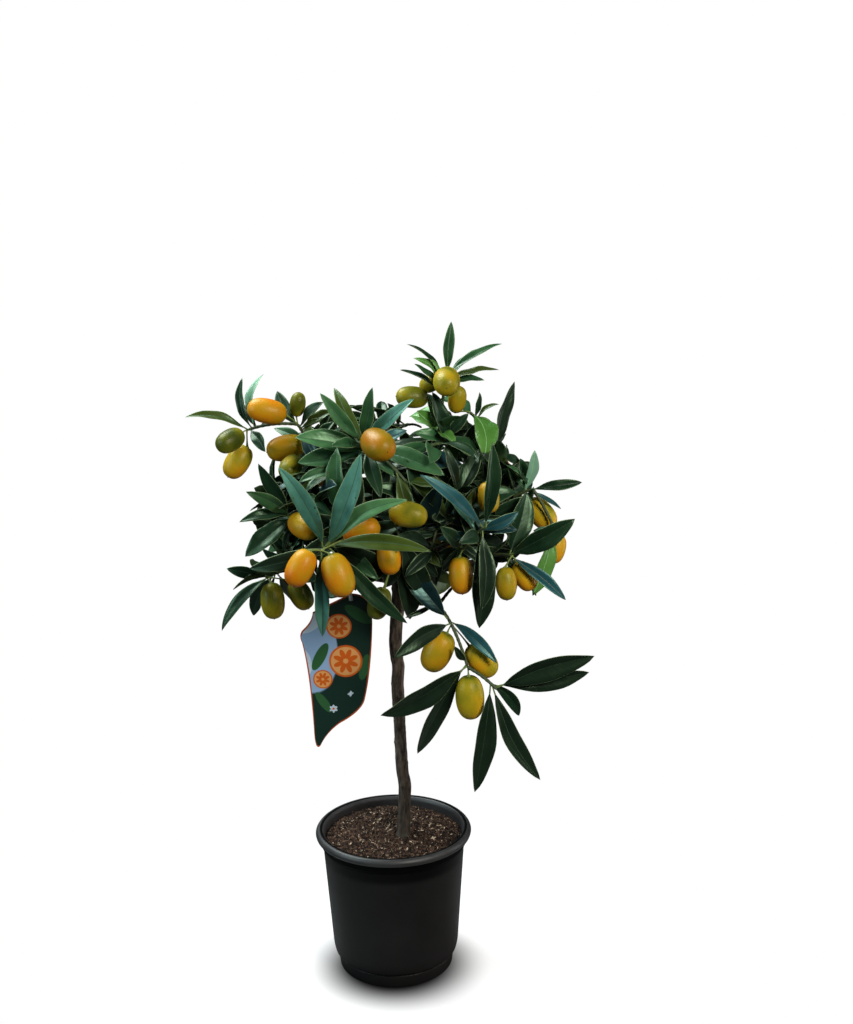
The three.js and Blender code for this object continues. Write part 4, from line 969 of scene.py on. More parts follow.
def leaf_options(base, tips, random, tone, listed, broad=1, facing=0, bow=(0, 0, 0)):
    """A leaf with its base, its width, arch and roll drawn at random, and one option for each tip. Its
    rise is how far its middle stands off the line from base to tip: an arch over its upper face, and
    a listed leaf's bow across the front. A listed leaf isn't rolled, and has its own width."""
    wide, arched, roll = 0.24 + 0.05 * next(random), 0.04 + 0.06 * next(random), 0.7 * (next(random) - 0.5)
    if listed:
        wide, arched, roll = 0.25 * broad, 0.6 * arched, 0
    else:
        wide *= 1.12
    options = []
    for tip in tips:
        length = np.linalg.norm(tip - base)
        direction = (tip - base) / length
        face = leaf_face(base, direction, roll, facing)
        rise = length * (arched * face + np.array(bow) - direction * np.dot(bow, direction))
        options.append((base, direction, face, length, wide * length, rise))
    return {"options": options, "tone": tone, "listed": listed}


def in_front(end, clock, reach, forward):
    """A place beside a shoot's end: at a reach across the front, by degrees clockwise from straight
    up, and a distance forward, raised by a share of that."""
    turn = math.radians(clock)
    return end + [reach * math.sin(turn), -forward, reach * math.cos(turn) + FRONT_RISE * forward]


def listed_growth(name, twigs, random):
    """Leaves and fruits of a mass's listed shoots. A tip lies across the front by its reach, and to
    the front or back by the rest of its length; each option leans to the front by another share."""
    leaves, fruits = [], []
    for twig, (end, listed_leaves, listed_fruits) in zip(twigs, SHOOTS.get(name, ())):
        end = np.array(end, float)
        for k, entry in enumerate(listed_leaves):
            clock, reach, tone, front, broad, facing, bow = (*entry, *LEAF_HABIT[len(entry) - 3:])
            length = max(reach, math.sqrt(reach * LEAF_FULL_LENGTH))
            side = 1 if end[1] < -50 or k % 2 == 0 else -1
            forward = side * math.sqrt(length**2 - reach**2) if front is None else front
            tips = [in_front(end, clock, reach, forward * share + LEAF_FULL_LENGTH * (share - 1) / 4)
                    for share in DEPTH_SHARES]
            base = back_along(twig, 1.5 + LEAF_STEP * k)
            turn = math.radians(clock)
            sideways = np.array([bow * math.cos(turn), 0, -bow * math.sin(turn)])
            leaves.append(leaf_options(base, tips, random, tone, True, broad, facing, sideways))
        for entry in listed_fruits:
            habit = FRUIT_HABIT[len(entry) - 4:]
            clock, reach, length, ripeness, front, hang, toward, bright = (*entry, *habit)
            distance = max(reach, FRUIT_STALK + length / 2)
            forward = math.sqrt(distance**2 - reach**2) if front is None else front
            middles = [in_front(end, clock, reach, forward * share + 12 * (share - 1))
                       for share in DEPTH_SHARES]
            axes = [unit(middle - end) for middle in middles]
            if hang is not None:
                turn = math.radians(hang)
                axes = [unit(np.array([math.sin(turn), -toward, math.cos(turn)]))] * len(axes)
            options = [(end, middle, length, axis) for middle, axis in zip(middles, axes)]
            fruits.append({"options": options, "skin": (ripeness, bright), "listed": True})
    return leaves, fruits


def behind_the_crown(point):
    """Whether a point lies in the back half, well inside the crown's outline seen from the front."""
    out = (point - CROWN_CENTRE) / CROWN_RADII
    return out[1] > 0.2 and math.hypot(out[0], out[2]) < 0.75


def added_growth(twigs, shoots, random, leaf_count, least_length):
    """Leaves and fruits of added shoots: leaves a golden angle apart round an axis that bends out and
    up, leaning out more the further back they start, and tried turned and shortened. Fruits hang in
    the back half only, and are tried further out too."""
    leaves, fruits = [], []
    for twig, (end, roll, has_fruit, ripeness) in zip(twigs, shoots):
        outward = unit(end - CROWN_CENTRE)
        axis = unit(unit(end - twig[0]) + 0.6 * outward + 0.35 * UP)
        across, over = squared_to(axis)
        for k in range(leaf_count):
            lean = math.radians(32 + 9 * k)
            length = least_length + 30 * next(random)
            base = back_along(twig, 1.5 + 3.5 * k)
            tips = []
            for clock in CLOCK_TURNS:
                turn = roll + k * GOLDEN_ANGLE + math.radians(clock)
                out = across * math.cos(turn) + over * math.sin(turn)
                way = axis * math.cos(lean) + out * math.sin(lean)
                tips += [base + way * length * share for share in LENGTH_SHARES]
            tips = [tip for tip in tips if crown_share(tip) < 1]
            tone = INNER_TONES[(k * 7 + int(roll * 10)) % len(INNER_TONES)]
            leaves.append(leaf_options(base, tips, random, tone, False))
        if has_fruit:
            length = 32 + 8 * next(random)
            hang = unit(np.array([next(random) - 0.5, next(random) - 0.5, -0.9]) + 0.8 * outward)
            ways = [(unit(hang + lean * outward), stalk) for lean, stalk in FRUIT_WAYS]
            options = [(end, end + way * (stalk + length / 2), length, way) for way, stalk in ways]
            options = [option for option in options if behind_the_crown(option[1])]
            if options:
                fruits.append({"options": options, "skin": (ripeness, 1), "listed": False})
    return leaves, fruits


FINE_SHOOTS = {  # and finer shoots, which the CAD's masses don't have, to fill the inside of the crown
    "spire": 2, "right_top": 4, "left_arm": 3, "left_mid": 4, "low_left": 3, "front_left": 4, "top_front": 4,
    "front": 6, "front_right": 4, "low_right": 3, "far_right": 4, "hanging": 0, "back_left": 5, "back": 5,
    "back_right": 5, "back_top": 4, "back_low": 8,
}
INNER_TONES = "dkngkdkdnodkdk"  # dealt out to the leaves of added shoots: mostly dark and darkest, a painted shade of the crown's inside
listed_ends = [np.array(shoot[0], float) for name in BOUGHS for shoot in SHOOTS.get(name, ())]
inner = add_shoots(INNER_SHOOTS, spacing=30, core=0.8, reach=(26, 40), seed=101, ends=listed_ends)
fine = add_shoots(FINE_SHOOTS, spacing=19, core=0.82, reach=(18, 52), seed=901, ends=listed_ends)
masses = {}
for number, name in enumerate(BOUGHS):
    ends = [np.array(shoot[0], float) for shoot in SHOOTS.get(name, ())]
    added = [shoot[0] for shoot in inner[name]] + [shoot[0] for shoot in fine[name]]
    twigs = twig_plan(name, ends + added)
    random = seeded(501 + number)
    leaves, fruits = listed_growth(name, twigs, random)
    fine_from = len(ends) + len(inner[name])
    more_leaves, more_fruits = added_growth(twigs[len(ends):], inner[name], random,
                                            leaf_count=6, least_length=58)
    fine_leaves, fine_fruits = added_growth(twigs[fine_from:], fine[name], seeded(701 + number),
                                            leaf_count=7, least_length=60)
    if name in SHOOTS:  # listed masses have all their fruit
        fine_fruits = []
    masses[name] = {"twigs": twigs, "leaves": leaves + more_leaves, "fine": fine_leaves,
                    "fruits": fruits + more_fruits + fine_fruits, "fine_from": fine_from}

# What a new leaf has to keep clear of: each thing as points, how thick it is round them, and a ball
# round it all.
in_the_way = {"points": [], "thick": [], "centre": [], "radius": []}


def put_in_the_way(points, thick):
    """Adds a thing to what is in the way, with the ball round its middle that holds it all."""
    points = np.asarray(points, float)
    middle = points.mean(0)
    in_the_way["points"].append(points)
    in_the_way["thick"].append(np.broadcast_to(thick, len(points)))
    in_the_way["centre"].append(middle)
    in_the_way["radius"].append(np.linalg.norm(points - middle, axis=1).max() + np.max(thick))


LEAF_LOOK = 12.0  # how far round a leaf or a listed fruit the room is measured, and round other fruit
FRUIT_LOOK = 20.0
LISTED_ROOM = 1.5  # the room that a leaf asks for
ADDED_ROOM = 3.0
FINE_ROOM = 2.6


def room_round(points, most=LEAF_LOOK):
    """The least distance from points to the surface of all that is in the way, up to most mm."""
    middle = points.mean(0)
    reach = np.linalg.norm(points - middle, axis=1).max()
    apart = np.linalg.norm(np.array(in_the_way["centre"]) - middle, axis=1)
    near = np.flatnonzero(apart < np.array(in_the_way["radius"]) + reach + most)
    if not len(near):
        return most
    others = np.concatenate([in_the_way["points"][i] for i in near])
    thick = np.concatenate([in_the_way["thick"][i] for i in near])
    gaps = np.linalg.norm(points[:, None] - others[None], axis=-1) - thick
    return min(gaps.min(), most)


def leaf_samples(base, direction, face, length, width, rise):
    """Eighteen points on a leaf's blade, past the first quarter: along in six steps, across in three."""
    along, across = np.meshgrid(np.linspace(0.28, 0.98, 6), (-0.7, 0.0, 0.7), indexing="ij")
    half = width / 2 * np.sin(math.pi * along) ** 0.8
    side = np.cross(face, direction)
    off_line = 4 * along * (1 - along)
    parts = ((along * length, direction), (across * half, side), (off_line, rise))
    return (base + sum(part[..., None] * way for part, way in parts)).reshape(-1, 3)


def fruit_samples(_, middle, length, axis):
    """Three points on a fruit's axis, for balls of about its girth."""
    return middle + np.array([-0.17, 0, 0.17])[:, None] * length * axis


EYE = np.array([41.0, -1400.0, 820.0])  # where the tree is looked at from
SKY_GAPS = np.array([  # openings in the crown seen from there, on the plane y = 0: middle, half size
    (31, 588, 15, 17), (-93, 592, 10, 8),
])


def in_sky_gap(points):
    """Whether any point lies in a gap: each is thrown along its line from the eye onto the plane
    y = 0, and measured against each gap's oval."""
    thrown = EYE + (points - EYE) * (EYE[1] / (EYE[1] - points[:, 1]))[:, None]
    off = (thrown[:, None, [0, 2]] - SKY_GAPS[:, :2]) / SKY_GAPS[:, 2:]
    return (np.linalg.norm(off, axis=-1) < 1).any()


def settle(leaf, room):
    """Chooses the first option of a leaf that has the room. A listed leaf without one takes the
    roomiest of its first three; another is left out."""
    rooms = []
    for option in leaf["options"]:
        samples = leaf_samples(*option)
        blocked = not leaf["listed"] and in_sky_gap(samples)
        rooms.append(0.0 if blocked else room_round(samples))
        if rooms[-1] >= room:
            break
    if not rooms or (rooms[-1] < room and not leaf["listed"]):
        return None
    best = len(rooms) - 1 if rooms[-1] >= room else int(np.argmax(rooms[:3]))
    chosen = leaf["options"][best]
    put_in_the_way(leaf_samples(*chosen), 0.5)
    return chosen


put_in_the_way(np.column_stack([trunk_line[::8, :2], trunk_height[::8]]), 6.6)
for name in BOUGHS:
    foot, knee, tip, _, stem_end = bough_ends(name)
    put_in_the_way(np.concatenate([quadratic(foot, knee, tip, np.linspace(0.1, 1, 14)), [stem_end]]), 3)
card_grid = np.concatenate([card_middle + share * card_out for share in np.linspace(0, 1, 9)])
put_in_the_way(np.column_stack([card_grid[:, 0], np.full(len(card_grid), hook[1]), card_grid[:, 1]]), 1.5)
put_in_the_way(strap_line, 2)
for mass in masses.values():
    for start, middle, end in mass["twigs"]:
        knee = 2 * middle - (start + end) / 2
        put_in_the_way(quadratic(start, knee, end, np.linspace(0, 0.9, 10)), 1.5)
leaf_list, fruit_list = [], []
for listed in (True, False):
    for mass_name, mass in masses.items():
        for fruit in mass["fruits"]:
            if fruit["listed"] != listed:
                continue
            look = LEAF_LOOK if listed else FRUIT_LOOK
            rooms = [room_round(fruit_samples(*option), look) - FRUIT_GIRTH * option[2]
                     for option in fruit["options"]]
            best = next((i for i, gap in enumerate(rooms) if gap > 1.0), int(np.argmax(rooms)))
            if not listed and rooms[best] < 0.5:
                continue
            option = fruit["options"][best]
            put_in_the_way(fruit_samples(*option), FRUIT_GIRTH * option[2])
            fruit_list.append((mass_name, option, fruit["skin"]))
    for mass_name, mass in masses.items():
        for leaf in mass["leaves"]:
            if leaf["listed"] == listed:
                chosen = settle(leaf, LISTED_ROOM if listed else ADDED_ROOM)
                if chosen is not None:
                    leaf_list.append((mass_name, chosen, leaf["tone"], listed))
for mass_name, mass in masses.items():
    for leaf in mass["fine"]:
        chosen = settle(leaf, FINE_ROOM)
        if chosen is not None:
            leaf_list.append((mass_name, chosen, leaf["tone"], False))

# -------------------------------------------------------------------------------------- twigs
# Young shoots of the last two seasons: green wood as thick as a pencil lead, with a slight bow from
# joint to joint and a low swelling under each leaf. They grow on from the boughs without a step.
STEM_RADIUS = 2.0  # of the twig that carries on from the bough
TWIG_RADIUS = 1.7
TWIG_TIP_RADIUS = 1.5
FINER_BY = 0.4
TWIG_STEPS = 26
TWIG_TURNS = 10
GREEN_HEIGHT = 300  # shoots above it, and this far from the crown's middle, are still green
GREEN_DISTANCE = 60
twig_green = mottled("green_shoot", ((0.030, 0.050, 0.016), (0.060, 0.085, 0.028)), (0.5, 0.7),
                     clouds=6, grain=0.8, bump=0.3, depth=0.3)
twig_brown = mottled("young_bark", ((0.030, 0.026, 0.015), (0.065, 0.058, 0.036)), (0.65, 0.85),
                     clouds=5, grain=0.7, bump=0.5, depth=0.4)
for name, mass in masses.items():
    lofts, worn = [], []
    stem_end = bough_ends(name)[4]
    for number, (start, middle, end) in enumerate(mass["twigs"]):
        finer = FINER_BY if number >= mass["fine_from"] else 0
        thick = (STEM_RADIUS if np.linalg.norm(start - stem_end) < 1 else TWIG_RADIUS) - finer
        knee = 2 * middle - (start + end) / 2
        share = np.linspace(0, 1, TWIG_STEPS)
        swell = 1 + 0.10 * np.sin(share * np.linalg.norm(end - start) / 5.5 * 2 * math.pi)
        radius = (thick + (TWIG_TIP_RADIUS - finer - thick) * share) * swell
        radius[-2:] *= (0.85, 0.5)
        lofts.append(capped_loft(tube(quadratic(start, knee, end, share), radius, TWIG_TURNS)))
        green = end[2] > GREEN_HEIGHT and np.linalg.norm(end - CROWN_CENTRE) > GREEN_DISTANCE
        worn.append(np.full(len(lofts[-1][1]), 0 if green else 1))
    twig_finishes = [twig_green, twig_brown]
    twig_piece = surface_piece("twigs_" + name, *join_lofts(lofts), twig_finishes, np.concatenate(worn))
    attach(twig_piece, "root")

# ------------------------------------------------------------------------------------- leaves
# Leathery evergreen blades, lance-shaped, folded a little along the midrib, glossy dark green above
# and matt and paler below, with a thin pale margin. Each stands on a short stalk in a leaf axil.
PETIOLE_SHARE = 0.09
PETIOLE_RADIUS = 0.8
BLADE_HALF_THICK = 0.24
MARGIN_WIDTH = 0.40
MIDRIB_HALF_WIDTH = 0.30
LISTED_STATIONS = 17  # rings along a listed leaf, and along any other
OTHER_STATIONS = 9
UPPER_POINTS = 8  # points of a ring across the upper face, and back across the lower
LOWER_POINTS = 3
LEAF_SHEEN = (0.58, 0.88, 0.56)
COOL_SHEEN = (0.50, 0.90, 0.78)
# The darkest tone is painted shade, for leaves in the crown's shade; the teal and blue-green tones are a
# painted sheen of the sky over dark green.
LEAF_TONES = {  # tone: its name, and two shades of the upper face
    "k": ("darkest_painted_shade", (0.006, 0.013, 0.007), (0.012, 0.026, 0.014)),
    "d": ("dark", (0.004, 0.016, 0.007), (0.014, 0.042, 0.018)),
    "g": ("green", (0.009, 0.040, 0.015), (0.042, 0.120, 0.045)),
    "e": ("emerald", (0.012, 0.060, 0.022), (0.085, 0.220, 0.085)),
    "t": ("teal_painted_sheen", (0.012, 0.062, 0.042), (0.092, 0.270, 0.205)),
    "b": ("blue_green_painted_sheen", (0.007, 0.038, 0.044), (0.026, 0.110, 0.130)),
    "o": ("olive", (0.028, 0.046, 0.006), (0.058, 0.086, 0.013)),
    "n": ("navy", (0.004, 0.012, 0.013), (0.010, 0.036, 0.044)),
    "y": ("young", (0.060, 0.180, 0.028), (0.115, 0.290, 0.058)),
    "m": ("mint", (0.130, 0.290, 0.190), (0.230, 0.420, 0.310)),
    "r": ("russet", (0.020, 0.020, 0.008), (0.038, 0.036, 0.015)),
}
LEAF_BACKS = {  # tones of the upper face: two shades of the lower face, and two of the midrib
    "kdrbn": (((0.018, 0.038, 0.015), (0.030, 0.058, 0.024)),
              ((0.010, 0.032, 0.014), (0.022, 0.055, 0.026))),
    "gteo": (((0.035, 0.075, 0.028), (0.055, 0.110, 0.042)),
             ((0.026, 0.078, 0.036), (0.050, 0.120, 0.058))),
    "ym": (((0.120, 0.280, 0.100), (0.180, 0.380, 0.150)),
           ((0.200, 0.420, 0.160), (0.260, 0.500, 0.220))),
}


def leaf_finish(name, shades, roughness, vein, sheen=LEAF_SHEEN):
    """A leaf face: two shades by slow clouds and by the way along, darker at the foot, a painted shade
    of the leaves round it, and side veins as bump. The veins are a wave along the blade that bends
    back from the midrib, on the leaf's own UV map: across is U from 0 to 1, along is V in units of 10 cm."""
    material = mottled(name, shades, roughness, clouds=16, grain=1.1, contrast=2.5, bump=0.04, gloss=0.4)
    tree = material.node_tree
    place = output_of(tree, "UVMap", "UV", uv_map="blade")
    along = output_of(tree, "SeparateXYZ", "Y", {"Vector": place})
    cloudy = maths(tree, "MULTIPLY_ADD", tree.nodes["Group"].outputs["Mask"], 0.5, -0.15)
    # Darker towards the foot of the leaf: a painted shade.
    shaded = maths(tree, "MULTIPLY_ADD", along, 1.05, cloudy, use_clamp=True)
    feed(tree, tree.nodes["Mix"], {"Factor": shaded})
    from_midrib = maths(tree, "ABSOLUTE", maths(tree, "SUBTRACT", along.node.outputs["X"], 0.5))
    bent = maths(tree, "MULTIPLY_ADD", from_midrib, -0.22, along)
    wave = maths(tree, "SINE", maths(tree, "MULTIPLY", bent, 110.0))
    relief = {"Strength": vein, "Distance": 0.25 * MM, "Height": wave,
              "Normal": tree.nodes["Bump"].outputs["Normal"]}
    veins = output_of(tree, "Bump", "Normal", relief)
    feed(tree, tree.nodes["Principled BSDF"], {"Specular Tint": (*sheen, 1), "Normal": veins})
    return material


tone_order, back_order = list(LEAF_TONES), list(LEAF_BACKS)
leaf_finishes = []
for tone, (tone_name, *shades) in LEAF_TONES.items():
    sheen = COOL_SHEEN if tone in "tbn" else LEAF_SHEEN
    leaf_finishes.append(leaf_finish("leaf_" + tone_name, shades, (0.27, 0.38), 0.06, sheen))
for number, tones in enumerate(back_order):
    leaf_finishes.append(leaf_finish(f"leaf_back_{number}", LEAF_BACKS[tones][0], (0.62, 0.78), 0.25))
for number, tones in enumerate(back_order):
    leaf_finishes.append(mottled(f"midrib_{number}", LEAF_BACKS[tones][1], (0.45, 0.55), clouds=8, grain=1))
leaf_finishes += [
    mottled("leaf_margin", ((0.14, 0.20, 0.085), (0.20, 0.27, 0.12)), (0.5, 0.6), clouds=5, grain=1),
    mottled("leaf_stalk", ((0.10, 0.16, 0.035), (0.16, 0.23, 0.06)), (0.45, 0.6), clouds=5, grain=1),
]
BACK_FIRST = len(LEAF_TONES)
MARGIN_SLOT = BACK_FIRST + 2 * len(LEAF_BACKS)
STALK_SLOT = MARGIN_SLOT + 1


def smooth_step(x):
    """0 under 0, 1 over 1, and 3x^2 - 2x^3 between."""
    x = np.clip(x, 0, 1)
    return x * x * (3 - 2 * x)


def leaf_rings(leaf, shape, stations):
    """Rings round leaves from root to tip, as leaf, station, ring point, xyz, and the same for UV.
    A ring runs across the upper face and back across the lower. A blade's half width is a sine of
    its length to the 0.74; across, it folds up to its margins and rolls down again at them; along,
    it arches, swings, twists and waves. All of that fades out in the round stalk."""
    base, direction, face, length, width, rise = leaf
    fold, sway, twist, wave, droop = shape
    blade_t = (np.arange(stations - 2) / (stations - 3)) ** 0.9
    t = np.concatenate([[0, PETIOLE_SHARE * 0.55], PETIOLE_SHARE + (1 - PETIOLE_SHARE) * blade_t])
    t = t[None, :, None]
    blade = np.clip((t - PETIOLE_SHARE) / (1 - PETIOLE_SHARE), 0, 1)
    length, width = length[:, None, None], width[:, None, None]
    fold, sway, twist, wave, droop = (part[:, None, None] for part in (fold, sway, twist, wave, droop))
    spread = np.sin(math.pi * blade) ** 0.74
    half = np.maximum(width / 2 * spread, PETIOLE_RADIUS * (1 - smooth_step(blade * 3)))
    half = half * np.where(blade < 1, 1, 0) + 0.02 * (blade >= 1)
    thick = BLADE_HALF_THICK + (PETIOLE_RADIUS - BLADE_HALF_THICK) * (1 - smooth_step(blade * 7))
    thick = thick * np.where(blade < 1, 1, 0.05)
    margin = 1 - np.clip(MARGIN_WIDTH / half, 0, 0.12)
    rib = np.clip(MIDRIB_HALF_WIDTH / half, 0.02, 0.3)
    ones = np.ones_like(half)
    upper = [-ones, -margin, -0.5 * ones, -rib, rib, 0.5 * ones, margin, ones]
    lower = [0.55 * ones, 0 * ones, -0.55 * ones]
    across = np.concatenate(upper + lower, axis=2)
    is_upper = np.arange(UPPER_POINTS + LOWER_POINTS) < UPPER_POINTS
    bow = thick * np.sqrt(np.clip(1 - across**2, 0, 1)) * np.where(is_upper, 1, -1)
    full = smooth_step(blade * 5)
    cup = half * fold * full * (np.abs(across) ** 1.25 - 0.45 * np.abs(across) ** 3.5)
    keel = np.where(is_upper, 0, 0.45) * np.exp(-((across * half / 0.9) ** 2)) * full * (1 - blade)
    ripple = wave * half * across**2 * np.sin(2 * math.pi * (2.3 * t + 3.7 * sway / 0.05)) * full
    over = bow + cup - keel + ripple + droop * length * (blade - blade**3)
    swing = sway * length * np.sin(math.pi * t) * smooth_step(blade * 2)
    turn = twist * (t - 0.35) * full
    side = np.cross(face, direction)[:, None, None]
    u = across * half * np.cos(turn) - over * np.sin(turn) + swing
    v = across * half * np.sin(turn) + over * np.cos(turn)
    off_line = (4 * t * (1 - t))[..., None] * rise[:, None, None]
    far = (t * length * np.ones_like(across))[..., None]
    points = (base[:, None, None] + direction[:, None, None] * far + side * u[..., None]
              + face[:, None, None] * v[..., None] + off_line)
    uv = np.stack([0.5 + across / 2, t * length / 100 + 0 * across], -1)
    return points, uv


def leaf_faces(count, stations, slots_of_leaf):
    """Faces of leaves as closed grids with a fan at the stalk's foot and at the tip, and their
    finishes: upper face and midrib by tone, outer strips as margin, lower face, stalk."""
    ring = UPPER_POINTS + LOWER_POINTS
    index = np.arange(count * stations * ring).reshape(count, stations, ring)
    right = np.roll(index, -1, axis=2)
    faces = np.stack([index[:, :-1], right[:, :-1], right[:, 1:], index[:, 1:]], -1)
    column = np.arange(ring)
    top, back = slots_of_leaf[:, :1, None], slots_of_leaf[:, 1:, None]
    worn = np.where(column < UPPER_POINTS - 1, top, back)
    worn = np.where(column == UPPER_POINTS // 2 - 1, back + len(LEAF_BACKS), worn)
    worn = np.where((column == 0) | (column == UPPER_POINTS - 2), MARGIN_SLOT, worn)
    row = np.arange(stations - 1)[None, :, None]
    worn = np.where(row < 2, STALK_SLOT, worn)
    fans = []
    for station in (0, stations - 1):
        loop = index[:, station]
        fan = [loop[:, [0, k, k + 1, k + 1]] for k in range(1, ring - 1)]
        fan = np.stack(fan, 1)
        fans.append(fan if station else fan[..., [0, 2, 1, 1]])
    caps = np.concatenate(fans, 1)
    faces = np.concatenate([faces.reshape(count, -1, 4), caps], 1)
    worn = np.concatenate([worn.reshape(count, -1), np.full(caps.shape[:2], STALK_SLOT)], 1)
    return faces[..., ::-1], worn


# Limits of a leaf's fold, its sway to a side, its twist in radians, its waves, and its droop.
LEAF_SHAPE = ((0.55, 0.95), (-0.045, 0.045), (-0.45, 0.45), (0.03, 0.16), (-0.01, 0.06))
habit = np.random.default_rng(77)
for name in BOUGHS:
    points, faces, worn, uvs, start = [], [], [], [], 0
    for listed, stations in ((True, LISTED_STATIONS), (False, OTHER_STATIONS)):
        chosen = [leaf for leaf in leaf_list if leaf[0] == name and leaf[3] == listed]
        if not chosen:
            continue
        columns = [np.array([leaf[1][k] for leaf in chosen], float) for k in range(6)]
        count = len(chosen)
        shape = [habit.uniform(*limits, count) for limits in LEAF_SHAPE]
        slots = [(tone_order.index(tone), BACK_FIRST + [tone in tones for tones in back_order].index(True))
                 for _, _, tone, _ in chosen]
        rings, uv = leaf_rings(columns, shape, stations)
        new_faces, new_worn = leaf_faces(count, stations, np.array(slots))
        points.append(rings.reshape(-1, 3))
        uvs.append(uv.reshape(-1, 2))
        faces.append(new_faces.reshape(-1, 4) + start)
        worn.append(new_worn.ravel())
        start += len(points[-1])
    if not points:
        continue
    leaves = surface_piece("leaves_" + name, np.concatenate(points), np.concatenate(faces), leaf_finishes,
                           np.concatenate(worn), attributes=[("blade", np.concatenate(uvs))])
    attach(leaves, "root")
    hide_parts(name + "_foliage")

# -------------------------------------------------------------------------------------- fruit
# Oval kumquats with thin glossy skin full of oil pores, green at first and then yellow and orange.
# Each hangs on a green stalk with a small five-toothed calyx, and has a dark scar at its far end.
FRUIT_ROWS = 26
FRUIT_TURNS = 24
PORE_SIZE = 1.3
SUN_SIDE = unit(np.array([0.45, -0.55, 0.70]))  # the way to the sun that ripens them
STALK_RADII = (1.0, 0.85, 0.75, 0.72, 0.72, 0.75, 0.85, 1.1, 1.5)  # from the shoot to the calyx
CALYX_LINE = ((0.3, -1.3), (0.75, -0.7), (1.0, 0.35), (0.8, 0.9), (0.3, 0.8))  # share of radius, drop
SCAR_LINE = ((-1.0, 0.8), (-0.2, 0.7), (0.35, 0.5), (0.6, 0.2))  # distance along the axis, radius
RIPENESS = (  # how ripe, and the skin's colour
    (0.0, (0.032, 0.050, 0.005)), (0.22, (0.120, 0.130, 0.007)), (0.42, (0.30, 0.235, 0.009)),
    (0.60, (0.46, 0.270, 0.008)), (0.80, (0.58, 0.235, 0.005)), (1.0, (0.62, 0.155, 0.003)),
)


def fruit_skin():
    """Skin: the colour follows the ripe attribute, a little mottled, and is scaled by each fruit's share
    of painted light, painted shade where under 1; pores are the cells of a Voronoi pattern as bump."""
    material, tree, shader = finish("kumquat_skin")
    ripe = output_of(tree, "Attribute", "Fac", attribute_name="ripe")
    # Each fruit's share of painted light, and of painted shade where under 1.
    bright = output_of(tree, "Attribute", "Fac", attribute_name="bright")
    sizes = {"Clouds": 7, "Grain": 1.3, "Contrast": 2}
    mask = output_of(tree, "Group", "Mask", sizes, node_tree=mottle)
    colour = colour_ramp(tree, maths(tree, "MULTIPLY_ADD", mask, 0.12, ripe), RIPENESS)
    cells = {"Vector": output_of(tree, "TexCoord", "Object"), "Scale": 1 / (PORE_SIZE * MM)}
    pores = output_of(tree, "TexVoronoi", "Distance", cells, feature="SMOOTH_F1")
    relief = {"Strength": 0.5, "Distance": 0.4 * MM, "Height": pores}
    feed(tree, shader, {
        "Base Color": scaled(tree, colour, bright),
        "Normal": output_of(tree, "Bump", "Normal", relief),
        "Roughness": 0.40,
        "Specular IOR Level": 0.32,
        "Specular Tint": (1.0, 0.90, 0.60, 1),
    })
    return material


fruit_finishes = [
    fruit_skin(),
    mottled("fruit_stalk", ((0.14, 0.19, 0.035), (0.21, 0.27, 0.06)), (0.5, 0.65),
            clouds=3, grain=0.8, bump=0.3),
    mottled("fruit_scar", ((0.020, 0.016, 0.008), (0.045, 0.034, 0.016)), (0.7, 0.85),
            clouds=2, grain=0.6, bump=0.4),
]


def circle_round(axis, turns):
    """Unit vectors square to an axis, in equal steps round it, and their angles."""
    across, over = squared_to(axis)
    turn = np.arange(turns) * 2 * math.pi / turns
    return across * np.cos(turn)[:, None] + over * np.sin(turn)[:, None], turn


def fruit_rings(middle, axis, length, slim):
    """Rings of an oval fruit along its axis from stalk to scar: the radius is the half width times
    a sine of the way to the power 0.92, filled out towards both ends, with a dimple round the
    stalk."""
    share = np.linspace(0, 1, FRUIT_ROWS)
    angle = math.pi * (share + 0.025 * np.sin(2 * math.pi * share))
    radius = slim * length / 2 * np.sin(angle) ** 0.92
    radius[[0, -1]] = 0.25
    along = -np.cos(math.pi * share) * length / 2
    along += 0.9 * np.exp(-((share / 0.07) ** 2))
    circle, _ = circle_round(axis, FRUIT_TURNS)
    return middle + along[:, None, None] * axis + radius[:, None, None] * circle[None], share


def stalk_loft(base, top):
    """The green stalk: a tube that rises 1.2 mm over the straight way at its knee."""
    line = quadratic(base, (base + top) / 2 + [0, 0, 1.2], top, np.linspace(0, 1, len(STALK_RADII)))
    return capped_loft(tube(line, np.array(STALK_RADII), 8))


def calyx_loft(top, axis):
    """The calyx: rings along the axis whose radius swings five times round, for its five teeth."""
    circle, turn = circle_round(axis, 20)
    teeth = (2.0 + 0.75 * np.cos(5 * turn))[:, None]
    rings = [top + axis * (drop + 0.2) + share * teeth * circle for share, drop in CALYX_LINE]
    return capped_loft(np.stack(rings))


def scar_loft(nib, axis):
    """The scar: a short tube along the axis that narrows to its end."""
    along, radius = np.array(SCAR_LINE).T
    return capped_loft(tube(nib + axis * along[:, None], radius, 8))


def skin_ripeness(rings, share, middle, ripeness, seed):
    """How ripe each point of a skin is: more towards the sun, patchy, and green round the stalk."""
    sunny = unit(rings - middle) @ -SUN_SIDE
    patch = lumpy(rings[..., 0] + rings[..., 1], rings[..., 2], 26, seed)
    skin = ripeness * 0.84 + 0.06 + 0.12 * sunny + 0.15 * patch
    skin = skin - 0.22 * np.exp(-((share / 0.16) ** 2))[:, None] * (ripeness > 0.2)
    return np.concatenate([skin.ravel(), skin[:1].mean(1), skin[-1:].mean(1)])


